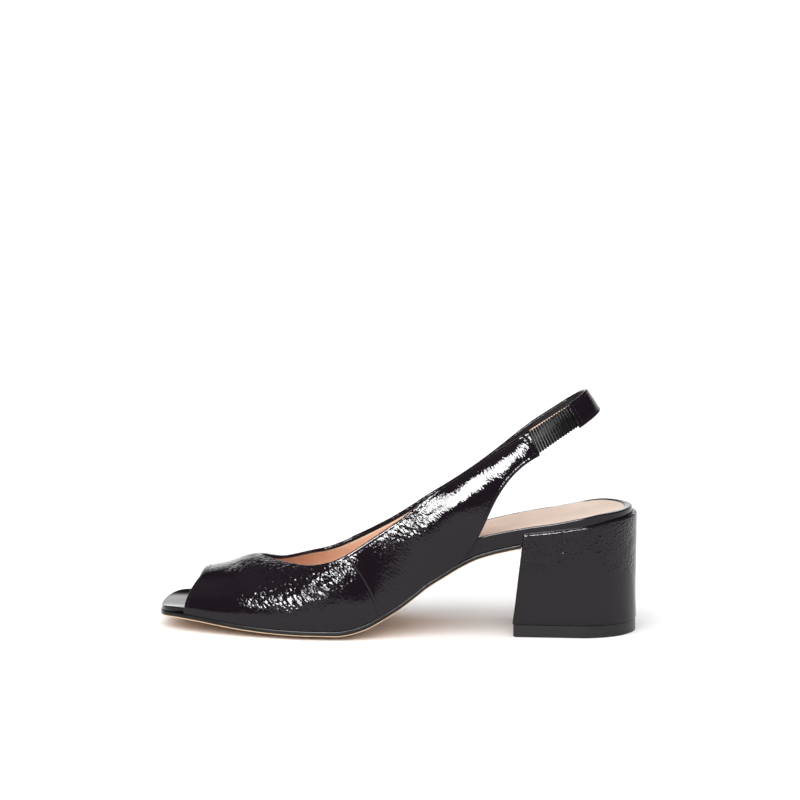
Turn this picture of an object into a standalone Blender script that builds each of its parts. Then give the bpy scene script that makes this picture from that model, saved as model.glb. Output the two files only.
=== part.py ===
# Open-toe slingback shoe with a wrapped footbed, a block heel and an elastic strap joint
# The toe points along -X, the outer side of the foot lies on -Y and the floor is z = 0
import math

import bmesh
import bpy
import numpy as np
from mathutils import Matrix, Vector

for item in list(bpy.data.objects):
    bpy.data.objects.remove(item, do_unlink=True)


def columns(names, *rows):
    """A short table: one named column for each word, one row for each section."""
    return {name: np.array([row[i] for row in rows], float) for i, name in enumerate(names.split())}


# Driving sizes in millimetres
MM = 0.001
GAP = 0.3
TOE_TIP = -118.6
TOE_ROUND = 11.0
TOE_SQUARE = 2.8
SEAT_END = 114.7
SEAT_ROUND = 27.0
SOLE_END = 60.4
SOLE_OUTSET = 2.4
FLUSH_OUTSET = 0.3
TOE_FADE = (-106.0, -113.0)
WAIST_FADE = (20.0, 40.0)
WAIST_STEP = 15.6
WAIST_STEP_SIZE = 0.45
CROWN_FLAT = 0.4
RIM_ROUND = 0.8
UPPER_WALL = 1.6
SEAM_RAISE = 0.4
SEAM_FADE = 1.6
SIDE_SWEEP = 0.35
SIDE_SWEEP_POWER = 1.0
VAMP_SWEEP_POWER = 1.6
SOCK_FRONT = -86.0
SOCK_BACK = 110.8
SOCK_INSET = 1.2
SOCK_THICK = 0.7
LIFT_HEIGHT = 6.2
LIFT_INSET = 0.45
HEEL_CORNER = 1.2

# Footbed outline: half widths on the outer and inner side of the foot
PLAN = columns(
    "station outer inner",
    (-118, 20.4, 20.8), (-110, 21.8, 22.3), (-100, 25.4, 25.6), (-85, 30.2, 30.2),
    (-70, 33.8, 33.8), (-55, 36.4, 35.8), (-42, 37.8, 35.6), (-30, 38.0, 33.4),
    (-15, 36.0, 28.6), (0, 31.6, 24.2), (15, 27.7, 21.5), (30, 25.3, 20.9),
    (48, 24.3, 22.8), (65, 24.9, 24.6), (82, 25.6, 25.8), (98, 25.6, 25.8), (116, 25.4, 25.6))

# Side profile: underside height, edge lift, outsole thickness and footbed thickness
PROFILE = columns(
    "station under lift sole board",
    (-118, 5.9, 1.8, 2.4, 2.2), (-110, 5.2, 1.8, 2.4, 2.8), (-100, 4.3, 1.9, 2.4, 3.2),
    (-88, 2.9, 2.0, 2.4, 3.2), (-76, 1.55, 2.0, 2.4, 3.2), (-64, 0.65, 2.0, 2.4, 3.2),
    (-52, 0.12, 2.0, 2.4, 3.2), (-46, 0.0, 2.0, 2.4, 3.2), (-28, 0.0, 2.0, 2.5, 3.2),
    (-22, 0.75, 2.0, 2.6, 3.2), (-14, 3.2, 1.9, 2.6, 3.3), (-6, 7.5, 1.7, 2.5, 3.7),
    (2.5, 13.0, 1.4, 2.4, 4.0), (10, 19.0, 1.1, 2.3, 4.5), (16, 23.9, 0.9, 2.3, 5.0),
    (24, 29.0, 0.8, 2.3, 5.7), (32, 33.9, 0.7, 2.3, 6.7), (40, 37.8, 0.6, 2.3, 7.2),
    (48, 40.4, 0.5, 2.2, 6.9), (62, 43.8, 0.5, 2.2, 6.5), (80, 48.0, 0.5, 2.2, 5.4),
    (90, 50.2, 0.5, 2.2, 5.3), (100, 51.8, 0.5, 2.2, 5.7), (116, 52.6, 0.5, 2.2, 6.2))

# Heel block: breast line, back line and half width at each level from the lift to the seat
HEEL = columns(
    "level breast back half",
    (0.0, 57.0, 117.2, 24.6), (0.25, 58.4, 116.8, 24.7), (0.5, 59.6, 116.9, 25.2),
    (0.75, 60.9, 117.0, 26.2), (1.0, 62.1, 117.1, 27.2))

# Top edge of the heel cover, rising to the back
LIP = columns(
    "station height",
    (55, 50.9), (63, 51.7), (75, 52.9), (85, 54.3), (95, 55.8), (106, 57.3), (118, 58.2))

# Ribs over the closed vamp: feather stations of both sides and the ridge between them
VAMP = columns(
    "outer_x inner_x ridge_x ridge_y ridge_z turn belly curl sweep",
    (-105, -106, -96.4, 2.0, 27.5, 90, 1.6, 1.0, 0.95), (-96, -97, -90.3, 2.0, 28.8, 90, 1.6, 1.0, 0.88),
    (-86, -87, -84.3, 2.0, 30.5, 90, 1.6, 1.0, 0.78), (-77, -78, -78.2, 2.0, 33.0, 90, 1.6, 1.05, 0.66),
    (-69, -70, -73.0, 2.0, 34.2, 90, 1.5, 1.15, 0.5), (-62.5, -63.5, -69.0, 2.0, 34.4, 88, 1.4, 1.25, 0.4))

# Ribs of the outer side from the throat back to the end of the feather line
OUTER_SIDE = columns(
    "low_x top_x top_y top_z start turn belly curl",
    (-55.5, -62.3, -6.8, 34.0, 0, 88, 1.3, 1.3), (-46.0, -52.4, -17.4, 34.2, 0, 86, 1.1, 1.4),
    (-35.5, -43.3, -25.9, 34.9, 0, 76, 0.8, 2.0), (-22.0, -34.1, -31.0, 37.1, -1, 52, 0.5, 2.4),
    (-6.9, -23.9, -32.4, 41.2, -2, 15, 0.2, 1.2), (8.0, -10.3, -30.1, 49.9, -5, 12, 0.0, 1.2),
    (20.0, 2.9, -26.8, 59.0, -11, 42, 0.0, 2.5), (30.6, 14.2, -24.6, 68.3, -14, 54, 0.0, 2.5))

# Ribs of the outer wing, whose low ends climb its rear edge
OUTER_WING = columns(
    "low_x low_y low_z top_x top_y top_z start turn belly curl",
    (38.3, -28.6, 46.0, 24.3, -22.9, 76.0, -8, 57, 0.0, 2.5),
    (43.7, -28.9, 56.8, 33.4, -21.3, 81.8, 2, 56, 0.0, 2.6),
    (48.4, -28.2, 67.4, 41.9, -19.9, 87.4, 10, 54, 0.0, 2.5),
    (54.9, -26.2, 77.5, 50.3, -18.6, 92.7, 10, 56, 0.0, 2.1),
    (62.4, -23.6, 85.0, 58.0, -17.6, 97.5, 12, 46, 0.0, 1.6))

INNER_SIDE = columns(
    "low_x top_x top_y top_z start turn belly curl",
    (-56.5, -63.4, 8.2, 32.2, 0, 84, 1.3, 1.3), (-47.0, -56.0, 15.2, 31.7, 0, 78, 1.1, 1.3),
    (-37.0, -47.6, 20.6, 33.0, 0, 70, 0.8, 1.4), (-23.5, -37.6, 24.4, 34.9, -2, 56, 0.5, 1.9),
    (-9.0, -26.5, 25.4, 39.4, -7, 40, 0.2, 2.0), (5.0, -12.5, 23.6, 46.7, -11, 35, 0.0, 2.0),
    (16.0, 0.5, 21.6, 54.6, -13, 37, 0.0, 1.95), (26.0, 11.5, 20.2, 62.3, -14, 42, 0.0, 1.8))

INNER_WING = columns(
    "low_x low_y low_z top_x top_y top_z start turn belly curl",
    (33.0, 25.0, 42.4, 22.0, 19.4, 69.1, -10, 44, 0.0, 1.5),
    (38.2, 26.4, 52.6, 31.0, 18.5, 75.2, -3, 46, 0.0, 1.3),
    (43.2, 26.0, 62.4, 39.5, 17.3, 81.5, 5, 46, 0.0, 1.15),
    (50.6, 23.6, 72.8, 48.3, 16.0, 88.6, 12, 42, 0.0, 1.1),
    (59.4, 20.6, 82.2, 56.4, 14.9, 95.4, 15, 35, 0.0, 1.0))

# Heel strap: a loop in a plane that climbs to the back, with a flaring lower edge
LOOP_START = (64.3, 101.7)
LOOP_CLIMB = math.radians(33.5)
LOOP_STRAIGHT = 17.5
LOOP_DEPTH = 15.4
LOOP_ARC = 47.0
LOOP_LENGTH = 2 * LOOP_STRAIGHT + LOOP_ARC
BAND = columns(
    "bend outer_top outer_low inner_top inner_low reach drop",
    (0.0, -17.0, -21.5, 14.2, 18.2, 5.7, 11.8),
    (0.5, -16.2, -19.4, 14.1, 17.2, 6.0, 11.5),
    (1.0, -15.2, -17.4, 14.0, 16.2, 6.4, 11.2))
BACK_REACH = 7.2
BACK_DROP = 10.7
BAND_THICK = 1.8
ELASTIC_SPAN = (0.3, 21.4)
ELASTIC_RIBS = 15
ELASTIC_THICK = 1.0
ELASTIC_RELIEF = 0.28
ELASTIC_TRIM = 0.09
STRAP_SPAN = (21.7, LOOP_LENGTH - 0.3)

# Numbers of facets
SOLE_CUTS = 44
SOLE_ACROSS = 12
RIB_STEPS = 2
RIB_POINTS = 12
HEEL_ARC = 16
HEEL_LEVELS = 6
STRAP_CUTS = 30


def eased(table, name, x):
    """A smooth column value that never overshoots its rows."""
    xs = table["station"]
    ys = table[name]
    step = np.diff(xs)
    slope = np.diff(ys) / step
    tangent = np.zeros(len(xs))
    same = slope[:-1] * slope[1:] > 0
    wide, narrow = 2 * step[1:] + step[:-1], step[1:] + 2 * step[:-1]
    low, high = slope[:-1][same], slope[1:][same]
    tangent[1:-1][same] = (wide + narrow)[same] / (wide[same] / low + narrow[same] / high)
    tangent[0], tangent[-1] = slope[0], slope[-1]
    i = int(np.clip(np.searchsorted(xs, x) - 1, 0, len(xs) - 2))
    t = (x - xs[i]) / step[i]
    ends = (2 * t ** 3 - 3 * t ** 2 + 1) * ys[i] + (3 * t ** 2 - 2 * t ** 3) * ys[i + 1]
    leans = (t ** 3 - 2 * t ** 2 + t) * tangent[i] + (t ** 3 - t ** 2) * tangent[i + 1]
    return float(ends + leans * step[i])


def curve_through(values, t):
    """A curve with even bending through evenly numbered rows."""
    values = np.asarray(values, float)
    count = len(values)
    lines = np.zeros((count, count))
    right = np.zeros_like(values)
    lines[0, 0] = lines[-1, -1] = 1.0
    for i in range(1, count - 1):
        lines[i, i - 1:i + 2] = (1, 4, 1)
        right[i] = 6 * (values[i + 1] - 2 * values[i] + values[i - 1])
    bend = np.linalg.solve(lines, right)
    i = int(min(max(math.floor(t), 0), count - 2))
    a, b = i + 1 - t, t - i
    straight = a * values[i] + b * values[i + 1]
    return straight + ((a ** 3 - a) * bend[i] + (b ** 3 - b) * bend[i + 1]) / 6


def half_width(x, side, outset=0.0):
    """Half width of the footbed outline at a station; side is -1 outer or +1 inner."""
    name = "outer" if side < 0 else "inner"
    toe = min(max((x - TOE_TIP + outset) / TOE_ROUND, 0.0), 1.0)
    seat = min(max((SEAT_END + outset - x) / SEAT_ROUND, 0.0), 1.0)
    toe_fade = (1 - (1 - toe) ** TOE_SQUARE) ** (1 / TOE_SQUARE)
    seat_fade = math.sqrt(1 - (1 - seat) ** 2)
    return (eased(PLAN, name, x) + outset) * toe_fade * seat_fade


def ramp(x, span):
    """A soft change from 0 to 1 between two stations."""
    share = min(max((x - span[0]) / (span[1] - span[0]), 0.0), 1.0)
    return share * share * (3 - 2 * share)


def sole_outset(x):
    """How far the outsole edge stands out past the footbed."""
    flush = max(ramp(x, TOE_FADE), ramp(x, WAIST_FADE))
    step = WAIST_STEP_SIZE if x > WAIST_STEP else 0.0
    return SOLE_OUTSET + step + (FLUSH_OUTSET - SOLE_OUTSET - step) * flush


def crown(x, y):
    """Lift of the layers toward their edges, above a flat middle strip."""
    side = -1 if y < 0 else 1
    reach = abs(y) / (eased(PLAN, "outer" if side < 0 else "inner", x) + SOLE_OUTSET)
    return eased(PROFILE, "lift", x) * min(max((reach - CROWN_FLAT) / (1 - CROWN_FLAT), 0.0), 1.05) ** 2


def sole_under(x, y):
    return eased(PROFILE, "under", x) + crown(x, y)


def sole_top(x, y):
    return sole_under(x, y) + eased(PROFILE, "sole", x)


def bed_under(x, y):
    return sole_top(x, y) + GAP


def bed_top(x, y):
    return bed_under(x, y) + eased(PROFILE, "board", x)


def material(name, color, roughness, coat=0.0):
    made = bpy.data.materials.new(name)
    made.use_nodes = True
    shader = made.node_tree.nodes["Principled BSDF"]
    shader.inputs["Base Color"].default_value = (*color, 1.0)
    shader.inputs["Roughness"].default_value = roughness
    shader.inputs["Coat Weight"].default_value = coat
    made.diffuse_color = (*color, 1.0)
    return made


def solid(name, points, faces, made):
    """One closed body from points in millimetres."""
    mesh = bpy.data.meshes.new(name)
    mesh.from_pydata([tuple(MM * c for c in p) for p in points], [], faces)
    work = bmesh.new()
    work.from_mesh(mesh)
    bmesh.ops.recalc_face_normals(work, faces=work.faces)
    work.to_mesh(mesh)
    work.free()
    mesh.materials.append(made)
    body = bpy.data.objects.new(name, mesh)
    bpy.context.scene.collection.objects.link(body)
    return body


def ring_loft(name, rings, made):
    """Close a row of equal rings into a body with flat ends."""
    count = len(rings[0])
    points = [p for ring in rings for p in ring]
    faces = [tuple(range(count))[::-1], tuple((len(rings) - 1) * count + i for i in range(count))]
    for r in range(len(rings) - 1):
        for i in range(count):
            a, b = r * count + i, r * count + (i + 1) % count
            faces.append((a, b, b + count, a + count))
    return solid(name, points, faces, made)


def stations(first, last, cuts, extra=()):
    """Stations that crowd toward both rounded ends."""
    even = [(1 - math.cos(math.pi * i / cuts)) / 2 for i in range(cuts + 1)]
    mixed = [0.85 * e + 0.15 * i / cuts for i, e in enumerate(even)]
    return sorted([first + (last - first) * m for m in mixed] + list(extra))


def slab(name, rows, edge, under, top, made, rounding=0.0):
    """A sole layer: cross sections between an underside and a topside."""
    rings = []
    for x in rows:
        outer, inner = edge(x, -1), edge(x, 1)
        inset = min(rounding, 0.3 * (outer + inner))
        across = np.linspace(-outer + inset, inner - inset, SOLE_ACROSS + 1)
        low = [(x, y, under(x, y)) for y in np.linspace(-outer, inner, SOLE_ACROSS + 1)]
        high = [(x, y, top(x, y)) for y in across]
        if rounding:
            high = [(x, -outer, top(x, -outer) - inset)] + high + [(x, inner, top(x, inner) - inset)]
        rings.append(low + high[::-1])
    return ring_loft(name, rings, made)


def feather_point(x, side):
    """Low edge of the upper, just above the outsole and outside the footbed."""
    y = side * (half_width(x, side) + GAP + UPPER_WALL)
    return (x, y, sole_top(x, y) + GAP)


def loop_edges(distance):
    """Top and low edge of the heel band at a distance from the outer wing tip."""
    turn = min(max((distance - LOOP_STRAIGHT) / LOOP_ARC, 0.0), 1.0) * math.pi
    rest = max(distance - LOOP_STRAIGHT - LOOP_ARC, 0.0)
    along = min(distance, LOOP_STRAIGHT) - rest + LOOP_DEPTH * math.sin(turn)
    now = {name: float(np.interp(along / LOOP_STRAIGHT, BAND["bend"], BAND[name])) for name in BAND}
    share = (1 - math.cos(turn)) / 2
    top_y = now["outer_top"] + (now["inner_top"] - now["outer_top"]) * share
    low_y = now["outer_low"] + (now["inner_low"] - now["outer_low"]) * share
    back = math.sin(turn)
    reach = now["reach"] + (BACK_REACH - now["reach"]) * back
    drop = now["drop"] + (BACK_DROP - now["drop"]) * back
    top = (LOOP_START[0] + along * math.cos(LOOP_CLIMB), top_y,
           LOOP_START[1] + along * math.sin(LOOP_CLIMB))
    return top, (top[0] + reach, low_y, top[2] - drop)


def upper_rows(side):
    """Rows of one side: low point, top point, start and turn of the lean, belly, curl, sweep and power."""
    side_table, wing_table = (OUTER_SIDE, OUTER_WING) if side < 0 else (INNER_SIDE, INNER_WING)
    feather = VAMP["outer_x" if side < 0 else "inner_x"]
    rows = []
    for i, x in enumerate(feather):
        top = (VAMP["ridge_x"][i], VAMP["ridge_y"][i], VAMP["ridge_z"][i])
        rest = [VAMP[n][i] for n in ("turn", "belly", "curl", "sweep")]
        rows.append((*feather_point(x, side), *top, 0, *rest, VAMP_SWEEP_POWER))
    for i, x in enumerate(side_table["low_x"]):
        rest = [side_table[n][i] for n in list(side_table)[1:]]
        rows.append((*feather_point(x, side), *rest, SIDE_SWEEP, SIDE_SWEEP_POWER))
    for i in range(len(wing_table["low_x"])):
        rows.append((*(wing_table[n][i] for n in wing_table), SIDE_SWEEP, SIDE_SWEEP_POWER))
    top, low = loop_edges(0.0 if side < 0 else LOOP_LENGTH)
    rows.append((*low, *top, 17, 36, 0.0, 3.0, SIDE_SWEEP, SIDE_SWEEP_POWER))
    return rows


SEAM_ROW = len(VAMP["turn"]) + 4
THROAT_ROW = len(VAMP["turn"]) - 1
UPPER_ROWS = {side: np.array(upper_rows(side)) for side in (-1, 1)}
COLLAR = np.vstack((UPPER_ROWS[-1][:THROAT_ROW:-1, 3:6], UPPER_ROWS[1][THROAT_ROW:, 3:6]))
COLLAR_MIDDLE = len(UPPER_ROWS[-1]) - 1 - THROAT_ROW


def row_at(mark, side):
    """One row of the upper between its table rows; the collar edge is rounded at the throat."""
    row = curve_through(UPPER_ROWS[side], mark)
    if mark <= THROAT_ROW:
        row[3:6] = curve_through(UPPER_ROWS[side][:THROAT_ROW + 1, 3:6], mark)
    else:
        row[3:6] = curve_through(COLLAR, COLLAR_MIDDLE + side * (mark - THROAT_ROW))
    return row


def rib(row, side):
    """One rib of the upper from its low edge to its top edge, leaning in more and more as it climbs."""
    low, top = row[0:3], row[3:6]
    start, turn, belly, curl, swept, power = row[6:12]
    share = np.linspace(0, 1, RIB_POINTS + 1)
    lean = np.radians(start + (turn - start) * ((share[1:] + share[:-1]) / 2) ** curl)
    rise = np.concatenate(([0.0], np.cumsum(np.cos(lean)))) / np.cos(lean).sum()
    inward = np.concatenate(([0.0], np.cumsum(np.sin(lean)))) / np.sin(lean).sum()
    sweep = (1 - swept) * rise + swept * (1 - np.clip(1 - inward, 0.0, 1.0) ** power)
    x = low[0] + (top[0] - low[0]) * sweep
    y = low[1] + (top[1] - low[1]) * inward + side * belly * np.sin(np.pi * share)
    z = low[2] + (top[2] - low[2]) * rise
    return np.column_stack((x, y, z))


def split_outward(quad):
    """Two triangles over four corners, along the diagonal that stands further out."""
    a, b, c, d = quad
    out = (c.co - a.co).cross(d.co - b.co)
    if (a.co + c.co - b.co - d.co).dot(out) > 0:
        return (a, b, c), (a, c, d)
    return (b, c, d), (b, d, a)


def build_upper(made):
    """The vamp, both quarters and both wings as one sheet given a wall thickness."""
    last = len(UPPER_ROWS[-1]) - 1
    marks = [i / RIB_STEPS for i in range(last * RIB_STEPS + 1)]
    marks = sorted(marks + [SEAM_ROW - 0.03])
    throat = marks.index(THROAT_ROW)
    work = bmesh.new()
    raise_by = {}
    grids = {}
    for side in (-1, 1):
        grid = []
        for m, mark in enumerate(marks):
            line = []
            behind = mark - SEAM_ROW
            step = SEAM_RAISE * math.exp(-behind / SEAM_FADE) if behind >= 0 else 0.0
            for j, point in enumerate(rib(row_at(mark, side), side)):
                shared = side > 0 and m <= throat and j == RIB_POINTS
                vert = grids[-1][m][j] if shared else work.verts.new(point)
                raise_by[vert] = step
                line.append(vert)
            grid.append(line)
        grids[side] = grid
        for m in range(len(marks) - 1):
            for j in range(RIB_POINTS):
                quad = [grid[m][j], grid[m + 1][j], grid[m + 1][j + 1], grid[m][j + 1]]
                for face in split_outward(quad if side < 0 else quad[::-1]):
                    work.faces.new(face)
    work.normal_update()
    work.verts.index_update()
    sheet = list(work.verts)
    normals = [v.normal.copy() for v in sheet]
    feather_end = marks.index(len(VAMP["turn"]) + len(OUTER_SIDE["turn"]) - 1)
    for side in (-1, 1):
        for m in range(feather_end + 1):
            n = normals[grids[side][m][0].index]
            n.z = 0.0
            n.normalize()
    count = len(sheet)
    points = [v.co + raise_by[v] * n for v, n in zip(sheet, normals)]
    points += [v.co - UPPER_WALL * n for v, n in zip(sheet, normals)]
    faces = []
    for face in work.faces:
        ids = [v.index for v in face.verts]
        faces.append(tuple(ids))
        faces.append(tuple(count + i for i in reversed(ids)))
    for edge in work.edges:
        if len(edge.link_faces) == 1:
            a, b = (v.index for v in edge.verts)
            faces.append((a, b, count + b, count + a))
    work.free()
    return solid("upper", points, faces, made)


def band_ring(distance, thick, trim=0.0):
    """Cross section of the heel band: both faces between its low and top edge."""
    top, low = (Vector(p) for p in loop_edges(distance))
    ahead_top, ahead_low = (Vector(p) for p in loop_edges(distance + 0.2))
    behind_top, behind_low = (Vector(p) for p in loop_edges(distance - 0.2))
    forward = (ahead_top + ahead_low) - (behind_top + behind_low)
    out = forward.cross(top - low).normalized()
    top, low = top.lerp(low, trim * 0.5), low.lerp(top, trim)
    middle = top.lerp(low, 0.5)
    inner_depth = (UPPER_WALL + thick) / 2
    outer_depth = (UPPER_WALL - thick) / 2
    face = [p - out * outer_depth for p in (low, middle, top)]
    back = [p - out * inner_depth for p in (top, middle, low)]
    return face + back


def heel_outline(level, inset):
    """Round-backed outline of the heel block at a level."""
    now = {name: float(np.interp(level, HEEL["level"], HEEL[name])) for name in HEEL}
    breast, back, half = now["breast"] + inset, now["back"] - inset, now["half"] - inset
    start = back - SEAT_ROUND
    corner = breast + HEEL_CORNER
    side = (breast + start) / 2
    arc = [math.pi * (i / HEEL_ARC - 0.5) for i in range(HEEL_ARC + 1)]
    outline = [(breast, -half + HEEL_CORNER), (corner, -half), (side, -half)]
    outline += [(start + SEAT_ROUND * math.cos(a), half * math.sin(a)) for a in arc]
    outline += [(side, half), (corner, half), (breast, half - HEEL_CORNER)]
    return outline + [(breast, half / 2), (breast, 0.0), (breast, -half / 2)]


def lip_height(x):
    return eased(LIP, "height", x)


def build_heel(made):
    """The covered block with a cup in its top for the seat of the footbed."""
    rings = []
    bottom = LIFT_HEIGHT + GAP
    for i in range(HEEL_LEVELS + 1):
        level = i / HEEL_LEVELS
        outline = heel_outline(level, 0.0)
        rings.append([(x, y, bottom + level * (lip_height(x) - bottom)) for x, y in outline])
    return ring_loft("heel", rings, made)


patent = material("crinkled_patent", (0.012, 0.011, 0.012), 0.16, 1.0)
heel_cover = material("heel_patent", (0.012, 0.011, 0.012), 0.18, 1.0)
strap_patent = material("strap_patent", (0.012, 0.011, 0.012), 0.2, 1.0)
bed_patent = material("footbed_patent", (0.013, 0.012, 0.013), 0.2, 1.0)
sock_leather = material("sock_leather", (0.70, 0.55, 0.46), 0.6)
sole_leather = material("sole_leather", (0.42, 0.25, 0.14), 0.55)
lift_rubber = material("lift_rubber", (0.015, 0.014, 0.014), 0.5)
elastic_cloth = material("elastic_cloth", (0.02, 0.018, 0.018), 0.8)

# Outsole, footbed and sock
sole_rows = stations(TOE_TIP - FLUSH_OUTSET + 0.03, SOLE_END, SOLE_CUTS,
                     (WAIST_STEP - 0.2, WAIST_STEP + 0.2))
slab("outsole", sole_rows, lambda x, s: half_width(x, s, sole_outset(x)),
     sole_under, sole_top, sole_leather)
bed_rows = stations(TOE_TIP + 0.03, SEAT_END - 0.05, SOLE_CUTS)
slab("footbed", bed_rows, half_width, bed_under, bed_top, bed_patent, RIM_ROUND)


def sock_edge(x, side):
    seat = min(max((SOCK_BACK - x) / SEAT_ROUND, 0.0), 1.0)
    plain = half_width(min(x, SEAT_END - SEAT_ROUND), side) - SOCK_INSET
    return plain * math.sqrt(1 - (1 - seat) ** 2)


sock_rows = stations(SOCK_FRONT, SOCK_BACK - 0.05, SOLE_CUTS)
slab("sock", sock_rows, sock_edge, lambda x, y: bed_top(x, y) + GAP,
     lambda x, y: bed_top(x, y) + GAP + SOCK_THICK, sock_leather)

# Upper, strap and elastic joint
build_upper(patent)
strap_cuts = np.linspace(*STRAP_SPAN, STRAP_CUTS + 1)
ring_loft("sling_strap", [band_ring(d, BAND_THICK) for d in strap_cuts], strap_patent)
elastic_rings = []
pitch = (ELASTIC_SPAN[1] - ELASTIC_SPAN[0]) / ELASTIC_RIBS
for i in range(ELASTIC_RIBS):
    for share, relief in ((0.0, 0.0), (0.3, ELASTIC_RELIEF), (0.7, ELASTIC_RELIEF)):
        place = ELASTIC_SPAN[0] + (i + share) * pitch
        elastic_rings.append(band_ring(place, ELASTIC_THICK + relief, ELASTIC_TRIM))
elastic_rings.append(band_ring(ELASTIC_SPAN[1], ELASTIC_THICK, ELASTIC_TRIM))
ring_loft("elastic_joint", elastic_rings, elastic_cloth)

# Heel block and top lift
heel = build_heel(heel_cover)
cup_rows = stations(SOLE_END - 12, SEAT_END + GAP - 0.02, SOLE_CUTS // 2)
cup = slab("heel_cup_cutter", cup_rows, lambda x, s: half_width(x, s, GAP),
           lambda x, y: bed_under(x, y) - GAP, lambda x, y: bed_top(x, y) + 20, heel_cover)
cup.hide_render = True
cup.display_type = "WIRE"
cut = heel.modifiers.new("cup", "BOOLEAN")
cut.operation = "DIFFERENCE"
cut.solver = "EXACT"
cut.object = cup
lift_outline = heel_outline(0.0, LIFT_INSET)
ring_loft("top_lift", [[(x, y, z) for x, y in lift_outline] for z in (0.0, LIFT_HEIGHT)], lift_rubber)

# Put the origin under the middle of the whole shoe
bodies = [body for body in bpy.data.objects if not body.hide_render]
corners = np.array([vert.co[:] for body in bodies for vert in body.data.vertices])
middle = (corners.min(axis=0) + corners.max(axis=0)) / 2
for body in bpy.data.objects:
    body.data.transform(Matrix.Translation((-middle[0], -middle[1], -corners[:, 2].min())))
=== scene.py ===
# Looks of the open-toe slingback shoe: crinkled patent, beige lining, ribbed elastic and stitching
# Sizes are millimetres on the last, with the toe along -X and the outer side of the foot on -Y
import math

import bmesh
import bpy
import numpy as np
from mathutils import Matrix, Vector
from mathutils.kdtree import KDTree


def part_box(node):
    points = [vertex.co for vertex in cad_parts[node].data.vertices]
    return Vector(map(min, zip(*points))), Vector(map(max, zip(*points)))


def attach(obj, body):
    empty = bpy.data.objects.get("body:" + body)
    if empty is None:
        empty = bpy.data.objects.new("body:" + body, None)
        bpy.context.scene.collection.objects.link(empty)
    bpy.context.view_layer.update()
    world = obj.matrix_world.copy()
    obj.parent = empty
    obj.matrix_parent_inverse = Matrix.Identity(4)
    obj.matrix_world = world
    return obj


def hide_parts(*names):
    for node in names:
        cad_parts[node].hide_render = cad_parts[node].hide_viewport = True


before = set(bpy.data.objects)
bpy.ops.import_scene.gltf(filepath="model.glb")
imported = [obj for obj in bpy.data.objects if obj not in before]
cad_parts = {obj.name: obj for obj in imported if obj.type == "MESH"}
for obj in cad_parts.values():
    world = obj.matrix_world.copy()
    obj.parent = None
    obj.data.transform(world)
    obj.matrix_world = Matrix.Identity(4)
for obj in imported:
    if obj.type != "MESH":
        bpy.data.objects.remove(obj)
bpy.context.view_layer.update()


def columns(names, *rows):
    """A short table: one named column for each word, one row for each section."""
    return {name: np.array([row[i] for row in rows], float) for i, name in enumerate(names.split())}


# Driving sizes of the shoe
MM = 0.001
GAP = 0.3
TOE_TIP = -118.6
TOE_ROUND = 11.0
TOE_SQUARE = 2.8
SEAT_END = 114.7
SEAT_ROUND = 27.0
SOLE_END = 60.4
SOLE_OUTSET = 2.4
FLUSH_OUTSET = 0.3
TOE_FADE = (-106.0, -113.0)
WAIST_FADE = (20.0, 40.0)
WAIST_STEP = 15.6
WAIST_STEP_SIZE = 0.45
WAIST_STEP_REACH = 0.2
CROWN_FLAT = 0.4
UPPER_WALL = 1.6
SEAM_RAISE = 0.4
SEAM_FADE = 1.6
SIDE_SWEEP = 0.35
SIDE_SWEEP_POWER = 1.0
SEAM_SIDE_ROW = 4
WING_TIP_LEAN = (17, 36, 0.0, 3.0)
VAMP_SWEEP_POWER = 1.6
SOCK_FRONT = -86.0
SOCK_BACK = 110.8
SOCK_INSET = 1.2
SOCK_THICK = 0.7
SOCK_SEAT_GAP = GAP * 0.2
LIFT_HEIGHT = 6.2
LIFT_INSET = 0.45
LIFT_EASE = (0.2, 0.15)
HEEL_CORNER = 1.2
HEEL_FOOT = ((0.25, 0.0), (0.08, 0.1))
CUP_GAP = GAP * 0.5
CUP_LEAD = 12
CUP_DEPTH = 30
CUP_SPARE = 0.02

# Footbed outline: half widths on the outer and inner side of the foot
PLAN = columns(
    "station outer inner",
    (-118, 20.4, 20.8), (-110, 21.8, 22.3), (-100, 25.4, 25.6), (-85, 30.2, 30.2),
    (-70, 33.8, 33.8), (-55, 36.4, 35.8), (-42, 37.8, 35.6), (-30, 38.0, 33.4),
    (-15, 36.0, 28.6), (0, 31.6, 24.2), (15, 27.7, 21.5), (30, 25.3, 20.9),
    (48, 24.3, 22.8), (65, 24.9, 24.6), (82, 25.6, 25.8), (98, 25.6, 25.8), (116, 25.4, 25.6))

# Side profile: underside height, edge lift, outsole thickness and footbed thickness
PROFILE = columns(
    "station under lift sole board",
    (-118, 5.9, 1.8, 2.4, 2.2), (-110, 5.2, 1.8, 2.4, 2.8), (-100, 4.3, 1.9, 2.4, 3.2),
    (-88, 2.9, 2.0, 2.4, 3.2), (-76, 1.55, 2.0, 2.4, 3.2), (-64, 0.65, 2.0, 2.4, 3.2),
    (-52, 0.12, 2.0, 2.4, 3.2), (-46, 0.0, 2.0, 2.4, 3.2), (-28, 0.0, 2.0, 2.5, 3.2),
    (-22, 0.75, 2.0, 2.6, 3.2), (-14, 3.2, 1.9, 2.6, 3.3), (-6, 7.5, 1.7, 2.5, 3.7),
    (2.5, 13.0, 1.4, 2.4, 4.0), (10, 19.0, 1.1, 2.3, 4.5), (16, 23.9, 0.9, 2.3, 5.0),
    (24, 29.0, 0.8, 2.3, 5.7), (32, 33.9, 0.7, 2.3, 6.7), (40, 37.8, 0.6, 2.3, 7.2),
    (48, 40.4, 0.5, 2.2, 6.9), (62, 43.8, 0.5, 2.2, 6.5), (80, 48.0, 0.5, 2.2, 5.4),
    (90, 50.2, 0.5, 2.2, 5.3), (100, 51.8, 0.5, 2.2, 5.7), (116, 52.6, 0.5, 2.2, 6.2))

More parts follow.
